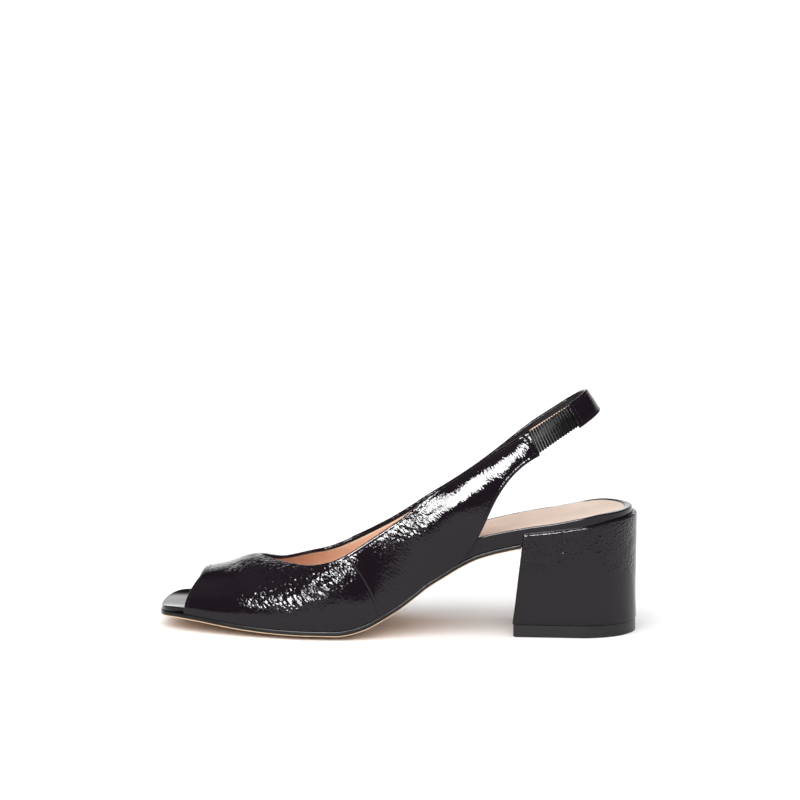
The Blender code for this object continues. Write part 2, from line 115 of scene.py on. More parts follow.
# Heel block: breast line, back line and half width at each level from the lift to the seat
HEEL = columns(
    "level breast back half",
    (0.0, 57.0, 117.2, 24.6), (0.25, 58.4, 116.8, 24.7), (0.5, 59.6, 116.9, 25.2),
    (0.75, 60.9, 117.0, 26.2), (1.0, 62.1, 117.1, 27.2))

# Top edge of the heel cover, rising to the back
LIP = columns(
    "station height",
    (55, 50.9), (63, 51.7), (75, 52.9), (85, 54.3), (95, 56.1), (106, 58.2), (118, 59.4))

# Ribs over the closed vamp: feather stations of both sides and the ridge between them
VAMP = columns(
    "outer_x inner_x ridge_x ridge_y ridge_z turn belly curl sweep",
    (-105, -106, -96.4, 2.0, 27.5, 90, 1.6, 1.0, 0.95), (-96, -97, -90.3, 2.0, 28.8, 90, 1.6, 1.0, 0.88),
    (-86, -87, -84.3, 2.0, 30.5, 90, 1.6, 1.0, 0.78), (-77, -78, -78.2, 2.0, 33.0, 90, 1.6, 1.05, 0.66),
    (-69, -70, -73.0, 2.0, 34.2, 90, 1.5, 1.15, 0.5), (-62.5, -63.5, -69.0, 2.0, 34.4, 88, 1.4, 1.25, 0.4))

# Ribs of each side from the throat back to the end of the feather line
OUTER_SIDE = columns(
    "low_x top_x top_y top_z start turn belly curl",
    (-55.5, -62.3, -6.8, 34.0, 0, 88, 1.3, 1.3), (-46.0, -52.4, -17.4, 34.2, 0, 86, 1.1, 1.4),
    (-35.5, -43.3, -25.9, 34.9, 0, 76, 0.8, 2.0), (-22.0, -34.1, -31.0, 37.1, -1, 52, 0.5, 2.4),
    (-6.9, -23.9, -32.4, 41.2, -2, 15, 0.2, 1.2), (8.0, -10.3, -30.1, 49.9, -5, 12, 0.0, 1.2),
    (20.0, 2.9, -26.8, 59.0, -11, 42, 0.0, 2.5), (30.6, 14.2, -24.6, 68.3, -14, 54, 0.0, 2.5))
INNER_SIDE = columns(
    "low_x top_x top_y top_z start turn belly curl",
    (-56.5, -63.4, 8.2, 32.2, 0, 84, 1.3, 1.3), (-47.0, -56.0, 15.2, 31.7, 0, 78, 1.1, 1.3),
    (-37.0, -47.6, 20.6, 33.0, 0, 70, 0.8, 1.4), (-23.5, -37.6, 24.4, 34.9, -2, 56, 0.5, 1.9),
    (-9.0, -26.5, 25.4, 39.4, -7, 40, 0.2, 2.0), (5.0, -12.5, 23.6, 46.7, -11, 35, 0.0, 2.0),
    (16.0, 0.5, 21.6, 54.6, -13, 37, 0.0, 1.95), (26.0, 11.5, 20.2, 62.3, -14, 42, 0.0, 1.8))

# Ribs of each wing, whose low ends climb its rear edge
OUTER_WING = columns(
    "low_x low_y low_z top_x top_y top_z start turn belly curl",
    (38.3, -28.6, 46.0, 24.3, -22.9, 76.0, -8, 57, 0.0, 2.5),
    (43.7, -28.9, 56.8, 33.4, -21.3, 81.8, 2, 56, 0.0, 2.6),
    (48.4, -28.2, 67.4, 41.9, -19.9, 87.4, 10, 54, 0.0, 2.5),
    (54.9, -26.2, 77.5, 50.3, -18.6, 92.7, 10, 56, 0.0, 2.1),
    (62.4, -23.6, 85.0, 58.0, -17.6, 97.5, 12, 46, 0.0, 1.6))
INNER_WING = columns(
    "low_x low_y low_z top_x top_y top_z start turn belly curl",
    (33.0, 25.0, 42.4, 22.0, 19.4, 69.1, -10, 44, 0.0, 1.5),
    (38.2, 26.4, 52.6, 31.0, 18.5, 75.2, -3, 46, 0.0, 1.3),
    (43.2, 26.0, 62.4, 39.5, 17.3, 81.5, 5, 46, 0.0, 1.15),
    (50.6, 23.6, 72.8, 48.3, 16.0, 88.6, 12, 42, 0.0, 1.1),
    (59.4, 20.6, 82.2, 56.4, 14.9, 95.4, 15, 35, 0.0, 1.0))

# Heel strap: a loop in a plane that climbs to the back, with a flaring lower edge
LOOP_START = (64.3, 101.7)
LOOP_CLIMB = math.radians(33.5)
LOOP_STRAIGHT = 17.5
LOOP_DEPTH = 15.4
LOOP_ARC = 47.0
LOOP_LENGTH = 2 * LOOP_STRAIGHT + LOOP_ARC
BAND = columns(
    "bend outer_top outer_low inner_top inner_low reach drop",
    (0.0, -17.0, -21.5, 14.2, 18.2, 5.7, 11.8),
    (0.5, -16.2, -19.4, 14.1, 17.2, 6.0, 11.5),
    (1.0, -15.2, -17.4, 14.0, 16.2, 6.4, 11.2))
BACK_REACH = 7.2
BACK_DROP = 10.7
BAND_WALL = 1.8
ELASTIC_SPAN = (0.3, 21.4)
ELASTIC_RIBS = 15
ELASTIC_TRIM = 0.09
ELASTIC_TUCK = 1.2
ELASTIC_ACROSS = (0.02, 0.98)
CORE_HALF = 0.1
CORE_SINK = 0.8
RIB_RADIUS = 0.5
RIB_CROWN = 0.8
RIB_SINK = 0.4
RIB_FRONT = 0.6
RIB_BACK = 1.0
STRAP_SPAN = (21.7, LOOP_LENGTH + 0.05)
STRAP_LIFT = 0.1
STRAP_CROWN = 0.2

# Finishing sizes that only show close by
EDGE_STEPS = np.array((0.0, 0.1, 0.24, 0.42, 0.65, 0.9, 1.2, 1.5, 1.8, 2.1, 2.5))
FOLD_ROUND = 0.75
FOLD_BEAD = 0.04
BEAD_PLACE = 0.95
BEAD_WIDTH = 0.45
FOLD_GROOVE = 0.05
GROOVE_PLACE = 1.8
GROOVE_WIDTH = 0.3
TURN_IN = 2.2
TURN_WIDER = 1.2
TURN_SPAN = (5.0, 50.0)
END_PRESS = 0.95
END_REACH = 6.5
END_CRINKLE = 0.9
END_STITCH = 3.1
LINING_THICK = 0.5
LINING_STEP = (0.35, 0.1)
LINING_SINK = 0.12
LINING_SKIVE = 0.35
LINING_OVERLAP = 0.02
FEATHER_FLAT = 2.5
SEAM_STEP = (-0.25, 0.3)
SEAM_ROW_PITCH = 15.0
SEAM_RIDGE = 0.08
SEAM_RIDGE_PLACE = 0.75
SEAM_RIDGE_WIDTH = 0.3
SEAM_GROOVE = 0.22
SEAM_GROOVE_WIDTH = 0.22
STITCH_PITCH = 1.7
STITCH_LENGTH = 1.35
THREAD_WIDTH = 0.3
STITCH_START_COLLAR = 0.3
STITCH_START_REAR = 0.4
STITCH_START_TOE = 12
BED_RIM = 0.7
RIM_RISE = 1.2
RIM_SPAN = (0.0, 40.0)
SOCK_RIM = 0.3
SOLE_BEVEL = 0.6
SOLE_TUCK = 0.85
LIP_ROUND = 0.9
LIFT_BEVEL = 0.35

# Crinkle of the patent: plain share, then patches at a station and height with a reach and a share
RUMPLE_PLAIN = 0.3
RUMPLE_LOW = 0.35
RUMPLE_CLIMB = (4.0, 16.0)
RUMPLE_MOST = 2.0
RUMPLE_PATCHES = (
    (-55, 21, 14, 1.7), (-41, 28, 11, 1.2), (-17, 36, 7, -0.3), (8, 58, 12, 1.0), (42, 80, 11, 0.06),
    (-72, 28, 10, 0.5), (-86, 22, 9, 0.35), (-28, 34, 7, 1.5), (-82, 31, 8, 0.35), (-4, 49, 9, 0.5))

# Numbers and spacing of facets
ROW_STEPS = 7
TOE_ROW_PITCH = 8.0
WING_ROW_PITCH = 7.5
SEAM_MARKS = (0.1, 0.07, 0.045, 0.028, 0.014)
MARK_SPACING = 0.05
THROAT_SOFTENING = 30
SOFT_ROWS = (0.5, 1.6)
SOFT_COLUMNS = (18, 6)
RIB_MIDDLE = 34
RIB_SAMPLES = 120
STRAP_CUTS = 70
STRAP_ACROSS = 14
BAND_PROBE = 0.2
CORE_CUTS = 40
CORE_ACROSS = 9
RIB_SIDES = 10
BOARD_CUTS = 130
BOARD_ACROSS = 22
END_CROWDING = 0.85
END_SPARE = 0.05
TOE_SPARE = 0.03
HEEL_ARC = 56
HEEL_LEVELS = 22
HEEL_FIRST_LEVEL = 0.006
HEEL_TURN = 6
HEEL_SIDE = 9
HEEL_BREAST = 14
LIP_CUTS = 6
CUP_CUTS = 60
CUP_ACROSS = 15
DOT_SPACING = 0.06
RIDGE_MERGE = 0.004
POINT_MERGE = 2e-6
NO_LENGTH = 1e-7
FAR_OFF = 99.0

SIDE_NAME = {-1: "outer", 1: "inner"}


# Curves, outlines and heights of the layers
def eased(table, name, x):
    """Smooth column values that never overshoot their rows."""
    xs, ys = table["station"], table[name]
    step = np.diff(xs)
    slope = np.diff(ys) / step
    tangent = np.zeros(len(xs))
    same = slope[:-1] * slope[1:] > 0
    wide, narrow = 2 * step[1:] + step[:-1], step[1:] + 2 * step[:-1]
    low, high = slope[:-1][same], slope[1:][same]
    tangent[1:-1][same] = (wide + narrow)[same] / (wide[same] / low + narrow[same] / high)
    tangent[0], tangent[-1] = slope[0], slope[-1]
    i = np.clip(np.searchsorted(xs, x) - 1, 0, len(xs) - 2)
    t = (x - xs[i]) / step[i]
    ends = (2 * t ** 3 - 3 * t ** 2 + 1) * ys[i] + (3 * t ** 2 - 2 * t ** 3) * ys[i + 1]
    leans = (t ** 3 - 2 * t ** 2 + t) * tangent[i] + (t ** 3 - t ** 2) * tangent[i + 1]
    return ends + leans * step[i]


def curve_through(values, t):
    """A curve with even bending through evenly numbered rows."""
    values = np.asarray(values, float)
    count = len(values)
    lines = np.zeros((count, count))
    right = np.zeros_like(values)
    lines[0, 0] = lines[-1, -1] = 1.0
    for i in range(1, count - 1):
        lines[i, i - 1:i + 2] = (1, 4, 1)
        right[i] = 6 * (values[i + 1] - 2 * values[i] + values[i - 1])
    bend = np.linalg.solve(lines, right)
    i = int(min(max(math.floor(t), 0), count - 2))
    a, b = i + 1 - t, t - i
    straight = a * values[i] + b * values[i + 1]
    return straight + ((a ** 3 - a) * bend[i] + (b ** 3 - b) * bend[i + 1]) / 6


def soft_step(x, start, end):
    """A soft change from 0 to 1 between two places."""
    share = np.clip((x - start) / (end - start), 0.0, 1.0)
    return share * share * (3 - 2 * share)


def half_width(x, side, outset=0.0):
    """Half width of the footbed outline at a station; side is -1 outer or +1 inner."""
    toe = np.clip((x - TOE_TIP + outset) / TOE_ROUND, 0.0, 1.0)
    seat = np.clip((SEAT_END + outset - x) / SEAT_ROUND, 0.0, 1.0)
    toe_fade = (1 - (1 - toe) ** TOE_SQUARE) ** (1 / TOE_SQUARE)
    return (eased(PLAN, SIDE_NAME[side], x) + outset) * toe_fade * np.sqrt(1 - (1 - seat) ** 2)


def sole_outset(x):
    """How far the outsole edge stands out past the footbed."""
    flush = max(soft_step(x, *TOE_FADE), soft_step(x, *WAIST_FADE))
    step = WAIST_STEP_SIZE if x > WAIST_STEP else 0.0
    return SOLE_OUTSET + step + (FLUSH_OUTSET - SOLE_OUTSET - step) * flush


def sole_edge(x, side):
    return half_width(x, side, sole_outset(x))


def sock_edge(x, side):
    seat = min(max((SOCK_BACK - x) / SEAT_ROUND, 0.0), 1.0)
    plain = half_width(min(x, SEAT_END - SEAT_ROUND), side) - SOCK_INSET
    return plain * math.sqrt(1 - (1 - seat) ** 2)


def crown(x, y):
    """Lift of the layers toward their edges, above a flat middle strip."""
    outer = eased(PLAN, "outer", x) + SOLE_OUTSET
    inner = eased(PLAN, "inner", x) + SOLE_OUTSET
    reach = np.where(y < 0, -y / outer, y / inner)
    return eased(PROFILE, "lift", x) * np.clip((reach - CROWN_FLAT) / (1 - CROWN_FLAT), 0.0, 1.05) ** 2


def sole_under(x, y):
    return eased(PROFILE, "under", x) + crown(x, y)


def sole_top(x, y):
    return sole_under(x, y) + eased(PROFILE, "sole", x)


def bed_under(x, y):
    return sole_top(x, y) + GAP


def bed_top(x, y):
    return bed_under(x, y) + eased(PROFILE, "board", x)


def rim_top(x, y):
    """Wrapped rim that stands round the sock in the waist and the seat."""
    return bed_top(x, y) + RIM_RISE * soft_step(x, *RIM_SPAN)


def rim_inside(share):
    """A share of the rim's width up to the sock, which is wider behind it."""
    spare = SEAT_END - SOCK_BACK - SOCK_INSET
    return lambda inward: (SOCK_INSET + spare * np.clip(-inward[:, :1], 0.0, 1.0)) * share


def sock_under(x, y):
    return bed_top(x, y) + SOCK_SEAT_GAP


def sock_top(x, y):
    return bed_top(x, y) + GAP + SOCK_THICK


def heel_outline(level, inset=0.0):
    """Round-backed outline of the heel block at a level."""
    now = {name: float(np.interp(level, HEEL["level"], HEEL[name])) for name in HEEL}
    breast, back, half = now["breast"] + inset, now["back"] - inset, now["half"] - inset
    start = back - SEAT_ROUND
    arc = np.linspace(-math.pi / 2, math.pi / 2, HEEL_ARC + 1)
    turn = np.linspace(math.pi, 1.5 * math.pi, HEEL_TURN)
    near = [(breast + HEEL_CORNER * (1 + math.cos(a)), -half + HEEL_CORNER * (1 + math.sin(a)))
            for a in turn]
    sides = [(breast + HEEL_CORNER + (start - breast - HEEL_CORNER) * s, -half)
             for s in np.linspace(0, 1, HEEL_SIDE)[1:-1]]
    outline = near + sides
    outline += [(start + SEAT_ROUND * math.cos(a), half * math.sin(a)) for a in arc]
    outline += [(x, -y) for x, y in reversed(near + sides)]
    front = np.linspace(half - HEEL_CORNER, HEEL_CORNER - half, HEEL_BREAST)[1:-1]
    outline += [(breast, y) for y in front]
    return np.array(outline)


# The frame's origin lies under the middle of the shoe, so the last is moved by where the lift sits
LIFT_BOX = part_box("top_lift")
LIFT_PLAN = heel_outline(0.0, LIFT_INSET)
LAST_SHIFT = np.array([
    *((np.array((LIFT_BOX[0] + LIFT_BOX[1])[:2]) / MM - LIFT_PLAN.min(0) - LIFT_PLAN.max(0)) / 2), 0.0])


# Mesh helpers
def in_scene(name, data):
    """A new object in the scene."""
    made = bpy.data.objects.new(name, data)
    bpy.context.scene.collection.objects.link(made)
    return made


def taken_mesh(carrier):
    """The shape that an object takes with its modifiers; the object itself is removed."""
    seen = carrier.evaluated_get(bpy.context.evaluated_depsgraph_get())
    mesh = bpy.data.meshes.new_from_object(seen)
    bpy.data.objects.remove(carrier, do_unlink=True)
    return mesh


def moved_to_frame(points):
    """Points of the last in metres of the frame."""
    return ((np.asarray(points) + LAST_SHIFT) * MM).tolist()


def closed_mesh(name, points, faces, marks=None, merge=False):
    """A mesh from points in millimetres, with its faces turned outward."""
    mesh = bpy.data.meshes.new(name)
    mesh.from_pydata(moved_to_frame(points), [], faces)
    for label, (domain, values) in (marks or {}).items():
        attribute = mesh.attributes.new(label, "FLOAT", domain)
        attribute.data.foreach_set("value", np.asarray(values, np.float32))
    work = bmesh.new()
    work.from_mesh(mesh)
    if merge:
        bmesh.ops.remove_doubles(work, verts=work.verts, dist=POINT_MERGE)
        bmesh.ops.dissolve_degenerate(work, edges=work.edges, dist=NO_LENGTH)
    bmesh.ops.recalc_face_normals(work, faces=work.faces)
    work.to_mesh(mesh)
    work.free()
    return mesh


def finish_piece(name, mesh, made, stands_for=(), sharp=40):
    """A mesh with its material becomes a piece that rides on the shoe's body."""
    mesh.materials.clear()
    mesh.materials.append(made)
    mesh.shade_smooth()
    mesh.set_sharp_from_angle(angle=math.radians(sharp))
    piece = in_scene(name, mesh)
    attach(piece, "root")
    if stands_for:
        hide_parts(*stands_for)
    return piece


def make_piece(name, points, faces, made, stands_for=(), sharp=40, marks=None):
    """One piece of the shoe from points in millimetres."""
    mesh = closed_mesh(name, points, faces, marks, True)
    return finish_piece(name, mesh, made, stands_for, sharp)


def at_height(outline, height):
    """Plan points raised to one height, or each to its own."""
    return np.column_stack((outline, np.zeros(len(outline)) + height))


def capped_rings(rings):
    """A closed body of rings of points, one behind the other, with a face at each end."""
    size = len(rings[0])
    last = (len(rings) - 1) * size
    faces = [tuple(range(size))[::-1], tuple(range(last, last + size))]
    for start in range(0, last, size):
        for i in range(size):
            a, b = start + i, start + (i + 1) % size
            faces.append((a, b, b + size, a + size))
    return np.vstack(rings), faces


def grid_faces(rows, across, first=0):
    """Faces of a grid of points numbered line by line."""
    faces = []
    for i in range(rows - 1):
        for j in range(across - 1):
            a = first + i * across + j
            faces.append((a, a + across, a + across + 1, a + 1))
    return faces


def rim_edges(faces):
    """Edges that belong to one face only, in that face's direction."""
    seen = {}
    for face in faces:
        for a, b in zip(face, face[1:] + face[:1]):
            key = (min(a, b), max(a, b))
            seen[key] = None if key in seen else (a, b)
    return [edge for edge in seen.values() if edge]


def shell(outside, inside, faces):
    """A closed wall between two copies of a sheet."""
    count = len(outside)
    walls = [(b, a, count + a, count + b) for a, b in rim_edges(faces)]
    back = [tuple(count + i for i in reversed(face)) for face in faces]
    return np.vstack((outside, inside)), list(faces) + back + walls


def line_distance(points, lines):
    """Distance of each point from the nearest of some lines."""
    dots = np.vstack([resampled(line, line_length(line) / DOT_SPACING) for line in lines])
    tree = KDTree(len(dots))
    for i, dot in enumerate(dots):
        tree.insert(dot, i)
    tree.balance()
    return np.array([tree.find(p)[2] for p in points])


def line_length(line):
    return float(np.linalg.norm(np.diff(line, axis=0), axis=1).sum())


def placed(line, places):
    """Points at given distances along a line."""
    line = np.asarray(line, float)
    run = np.concatenate(([0.0], np.cumsum(np.linalg.norm(np.diff(line, axis=0), axis=1))))
    return np.column_stack([np.interp(places, run, line[:, k]) for k in range(3)])


def resampled(line, count):
    return placed(line, np.linspace(0, line_length(line), max(int(count), 2)))


def crowded(length, middle):
    """Distances that lie close together at both ends."""
    inner = np.linspace(EDGE_STEPS[-1], length - EDGE_STEPS[-1], middle + 2)[1:-1]
    return np.concatenate((EDGE_STEPS, inner, length - EDGE_STEPS[::-1]))


def clipped(points, normals, field, faces, level):
    """The part of a sheet where a field is above a level, cut cleanly along the line between."""
    points, normals, field = list(points), list(normals), list(field)
    kept, cuts = [], {}

    def crossing(a, b):
        key = (min(a, b), max(a, b))
        if key not in cuts:
            t = (level - field[a]) / (field[b] - field[a])
            points.append(points[a] + t * (points[b] - points[a]))
            normals.append(normals[a] + t * (normals[b] - normals[a]))
            field.append(level)
            cuts[key] = len(points) - 1
        return cuts[key]

    for face in faces:
        inside = [field[i] > level for i in face]
        if all(inside):
            kept.append(face)
        elif any(inside):
            part = []
            for k, a in enumerate(face):
                b = face[(k + 1) % len(face)]
                if field[a] > level:
                    part.append(a)
                if (field[a] > level) != (field[b] > level):
                    part.append(crossing(a, b))
            if len(part) > 2:
                kept.append(tuple(part))
    used = sorted({i for face in kept for i in face})
    place = {i: n for n, i in enumerate(used)}
    faces = [tuple(place[i] for i in face) for face in kept]
    return np.array(points)[used], np.array(normals)[used], np.array(field)[used], faces


class Sheet:
    """A thin sheet on the last: its points, outward normals, faces and distance from its open edges."""

    def __init__(self, points, faces, open_edges):
        work = bmesh.new()
        verts = [work.verts.new(p) for p in points]
        for face in faces:
            work.faces.new([verts[i] for i in face])
        work.verts.index_update()
        ridge = bmesh.ops.find_doubles(work, verts=work.verts, dist=RIDGE_MERGE)["targetmap"]
        same = {v.index: ridge[v].index if v in ridge else v.index for v in work.verts}
        work.free()
        used = sorted(set(same.values()))
        place = {i: n for n, i in enumerate(used)}
        self.points = np.asarray(points, float)[used]
        self.number = np.array([place[same[i]] for i in range(len(points))])
        faces = [tuple(dict.fromkeys(int(self.number[i]) for i in face)) for face in faces]
        self.faces = [face for face in faces if len(face) > 2]
        self.normals = self.outward()
        self.edge = line_distance(self.points, open_edges)
        self.inset = self.edge - TURN_WIDER * soft_step(self.points[:, 0], *TURN_SPAN)

    def outward(self):
        total = np.zeros_like(self.points)
        for face in self.faces:
            p = self.points[list(face)]
            area = np.cross(p[2] - p[0], p[-1] - p[1])
            total[list(face)] += area
        return total / np.linalg.norm(total, axis=1, keepdims=True)

    def fold(self, wall):
        """Depth of the rounded fold along the open edges."""
        inward = np.clip(1 - self.edge / FOLD_ROUND, 0.0, 1.0)
        return wall / 2 * (1 - np.sqrt(1 - inward ** 2))

    def bead(self):
        """Low roll along the open edges with a stitched groove behind it."""
        roll = FOLD_BEAD * np.exp(-((self.edge - BEAD_PLACE) / BEAD_WIDTH) ** 2)
        return roll - FOLD_GROOVE * np.exp(-((self.edge - GROOVE_PLACE) / GROOVE_WIDTH) ** 2)

    def cover(self, wall, relief=0.0):
        """Outside and inside of the patent, which is turned in over the open edges."""
        fold = self.fold(wall)
        start, end = (TURN_IN - step for step in LINING_STEP)
        inner = wall - LINING_THICK * soft_step(self.inset, start, end)
        outside = self.points + self.normals * (relief + self.bead() - fold)[:, None]
        inside = self.points - self.normals * (inner - fold)[:, None]
        return outside, inside

    def lining(self, wall):
        """The lining sheet that ends short of the open edges."""
        points, normals, edge, faces = clipped(self.points, self.normals, self.inset, self.faces, TURN_IN)
        thin = soft_step(edge, TURN_IN, TURN_IN + LINING_SKIVE) * LINING_SINK
        back = points - normals * (wall - LINING_THICK + LINING_OVERLAP)
        face = points - normals * (wall - LINING_SINK + thin)[:, None]
        body, walls = shell(back, face, faces)
        return body, walls, np.concatenate((edge, edge))


# The upper: rows between the feather line and the top edge
def feather_point(x, side):
    """Low edge of the upper, just above the outsole and outside the footbed."""
    y = side * (half_width(x, side) + GAP + UPPER_WALL)
    return (x, y, float(sole_top(x, y)) + GAP)


def loop_edges(distance):
    """Top and low edge of the heel band at a distance from the outer wing tip."""
    turn = min(max((distance - LOOP_STRAIGHT) / LOOP_ARC, 0.0), 1.0) * math.pi
    rest = max(distance - LOOP_STRAIGHT - LOOP_ARC, 0.0)
    along = min(distance, LOOP_STRAIGHT) - rest + LOOP_DEPTH * math.sin(turn)
    now = {name: float(np.interp(along / LOOP_STRAIGHT, BAND["bend"], BAND[name])) for name in BAND}
    share = (1 - math.cos(turn)) / 2
    top_y = now["outer_top"] + (now["inner_top"] - now["outer_top"]) * share
    low_y = now["outer_low"] + (now["inner_low"] - now["outer_low"]) * share
    back = math.sin(turn)
    reach = now["reach"] + (BACK_REACH - now["reach"]) * back
    drop = now["drop"] + (BACK_DROP - now["drop"]) * back
    top = (LOOP_START[0] + along * math.cos(LOOP_CLIMB), top_y,
           LOOP_START[1] + along * math.sin(LOOP_CLIMB))
    return np.array(top), np.array((top[0] + reach, low_y, top[2] - drop))


def upper_rows(side):
    """Rows of one side: low point, top point, start and turn of the lean, belly, curl, sweep and power."""
    side_table, wing_table = (OUTER_SIDE, OUTER_WING) if side < 0 else (INNER_SIDE, INNER_WING)
    rows = []
    for i, x in enumerate(VAMP[SIDE_NAME[side] + "_x"]):
        top = (VAMP["ridge_x"][i], VAMP["ridge_y"][i], VAMP["ridge_z"][i])
        rest = [VAMP[n][i] for n in ("turn", "belly", "curl", "sweep")]
        rows.append((*feather_point(x, side), *top, 0, *rest, VAMP_SWEEP_POWER))
    for i, x in enumerate(side_table["low_x"]):
        rest = [side_table[n][i] for n in list(side_table)[1:]]
        rows.append((*feather_point(x, side), *rest, SIDE_SWEEP, SIDE_SWEEP_POWER))
    for i in range(len(wing_table["low_x"])):
        rows.append((*(wing_table[n][i] for n in wing_table), SIDE_SWEEP, SIDE_SWEEP_POWER))
    top, low = loop_edges(0.0 if side < 0 else LOOP_LENGTH)
    rows.append((*low, *top, *WING_TIP_LEAN, SIDE_SWEEP, SIDE_SWEEP_POWER))
    return rows


SEAM_ROW = len(VAMP["turn"]) + SEAM_SIDE_ROW
THROAT_ROW = len(VAMP["turn"]) - 1
FEATHER_ROW = len(VAMP["turn"]) + len(OUTER_SIDE["turn"]) - 1
UPPER_ROWS = {side: np.array(upper_rows(side)) for side in (-1, 1)}
WING_ROW = len(UPPER_ROWS[-1]) - 1
COLLAR = np.vstack((UPPER_ROWS[-1][:THROAT_ROW:-1, 3:6], UPPER_ROWS[1][THROAT_ROW:, 3:6]))
COLLAR_MIDDLE = WING_ROW - THROAT_ROW


def row_at(mark, side):
    """One row of the upper between its table rows; the collar edge is rounded at the throat."""
    row = curve_through(UPPER_ROWS[side], mark)
    if mark <= THROAT_ROW:
        row[3:6] = curve_through(UPPER_ROWS[side][:THROAT_ROW + 1, 3:6], mark)
    else:
        row[3:6] = curve_through(COLLAR, COLLAR_MIDDLE + side * (mark - THROAT_ROW))
    return row


def rib(row, side):
    """One rib of the upper from its low edge to its top edge, leaning in more and more as it climbs."""
    low, top = row[0:3], row[3:6]
    start, turn, belly, curl, swept, power = row[6:12]
    share = np.linspace(0, 1, RIB_SAMPLES + 1)
    lean = np.radians(start + (turn - start) * ((share[1:] + share[:-1]) / 2) ** curl)
    rise = np.concatenate(([0.0], np.cumsum(np.cos(lean)))) / np.cos(lean).sum()
    inward = np.concatenate(([0.0], np.cumsum(np.sin(lean)))) / np.sin(lean).sum()
    sweep = (1 - swept) * rise + swept * (1 - np.clip(1 - inward, 0.0, 1.0) ** power)
    x = low[0] + (top[0] - low[0]) * sweep
    y = low[1] + (top[1] - low[1]) * inward + side * belly * np.sin(np.pi * share)
    z = low[2] + (top[2] - low[2]) * rise
    return np.column_stack((x, y, z))


def upper_marks():
    """Row marks: even, with more at the toe opening, the side seam and the wing ends."""
    even = [i / ROW_STEPS for i in range(WING_ROW * ROW_STEPS + 1)]
    toe = list(EDGE_STEPS / TOE_ROW_PITCH)
    wing = list(WING_ROW - EDGE_STEPS / WING_ROW_PITCH)
    seam = [SEAM_ROW] + [SEAM_ROW + side * away for away in SEAM_MARKS for side in (-1, 1)]
    close = toe + wing + seam
    spaced = [m for m in even if min(abs(m - c) for c in close) > MARK_SPACING]
    return np.array(sorted(close + spaced + [THROAT_ROW] * (THROAT_ROW not in spaced)))


def softened(lines, marks):
    """Even out the rows beside the throat, where the ridge passes into the collar."""
    hold = soft_step(np.abs(marks - THROAT_ROW), *SOFT_ROWS)[:, None, None]
    across = lines.shape[1]
    start, end = (across - column for column in SOFT_COLUMNS)
    hold = np.maximum(hold, soft_step(np.arange(across), start, end)[None, :, None])
    for _ in range(THROAT_SOFTENING):
        middle = lines.copy()
        before, after = np.diff(marks)[:-1, None, None], np.diff(marks)[1:, None, None]
        middle[1:-1] = (lines[:-2] * after + lines[2:] * before) / (before + after)
        lines = lines * (0.5 + 0.5 * hold) + middle * (0.5 - 0.5 * hold)
    return lines


def build_upper_sheet():
    """The vamp, both quarters and both wings as one sheet, with its ribs kept by side."""
    marks = upper_marks()
    across = 2 * len(EDGE_STEPS) + RIB_MIDDLE
    points, faces, ribs, seam, low = [], [], {}, [], []
    for side in (-1, 1):
        lines = []
        for mark in marks:
            line = rib(row_at(mark, side), side)
            lines.append(placed(line, crowded(line_length(line), RIB_MIDDLE)))
        first = len(points)
        ribs[side] = softened(np.array(lines), marks)
        fixed = ribs[side][list(marks).index(SEAM_ROW)]
        points += list(ribs[side].reshape(-1, 3))
        behind = np.linalg.norm(ribs[side] - fixed, axis=2) * np.sign(marks - SEAM_ROW)[:, None]
        seam += list(behind.ravel())
        reach = np.linalg.norm(ribs[side] - ribs[side][:, :1], axis=2)
        low += list(np.where(marks[:, None] <= FEATHER_ROW, reach, FAR_OFF).ravel())
        made = grid_faces(len(marks), across, first)
        faces += made if side < 0 else [face[::-1] for face in made]
    collar = [ribs[s][marks >= THROAT_ROW][:, -1] for s in (-1, 1)]
    rear = [ribs[s][marks >= FEATHER_ROW][:, 0] for s in (-1, 1)]
    ends = [ribs[-1][0], ribs[1][0], ribs[-1][-1]]
    sheet = Sheet(points, faces, collar + rear + ends)
    first_seen = np.unique(sheet.number, return_index=True)[1]
    low = np.array(low)[first_seen]
    flat = np.clip(1 - low / FEATHER_FLAT, 0.0, 1.0)
    sheet.normals[:, 2] *= 1 - flat
    sheet.normals /= np.linalg.norm(sheet.normals, axis=1, keepdims=True)
    return sheet, ribs, marks, np.array(seam)[first_seen], low


def seam_relief(behind):
    """The quarter lies over the vamp: a folded groove and a low step that fades to the back."""
    row = np.maximum(behind, 0.0) / SEAM_ROW_PITCH
    step = SEAM_RAISE * np.exp(-row / SEAM_FADE) * soft_step(behind, *SEAM_STEP)
    ridges = SEAM_RIDGE * np.exp(-((np.abs(behind) - SEAM_RIDGE_PLACE) / SEAM_RIDGE_WIDTH) ** 2)
    return step + ridges - SEAM_GROOVE * np.exp(-(behind / SEAM_GROOVE_WIDTH) ** 2)


# The heel band: strap and elastic
def band_line(distance, trim=0.0):
    """Low and top end of the band and its outward direction."""
    top, low = loop_edges(distance)
    ahead, behind = loop_edges(distance + BAND_PROBE), loop_edges(distance - BAND_PROBE)
    forward = ahead[0] + ahead[1] - behind[0] - behind[1]
    out = np.cross(forward, top - low)
    return low + (top - low) * trim, top + (low - top) * trim / 2, out / np.linalg.norm(out)


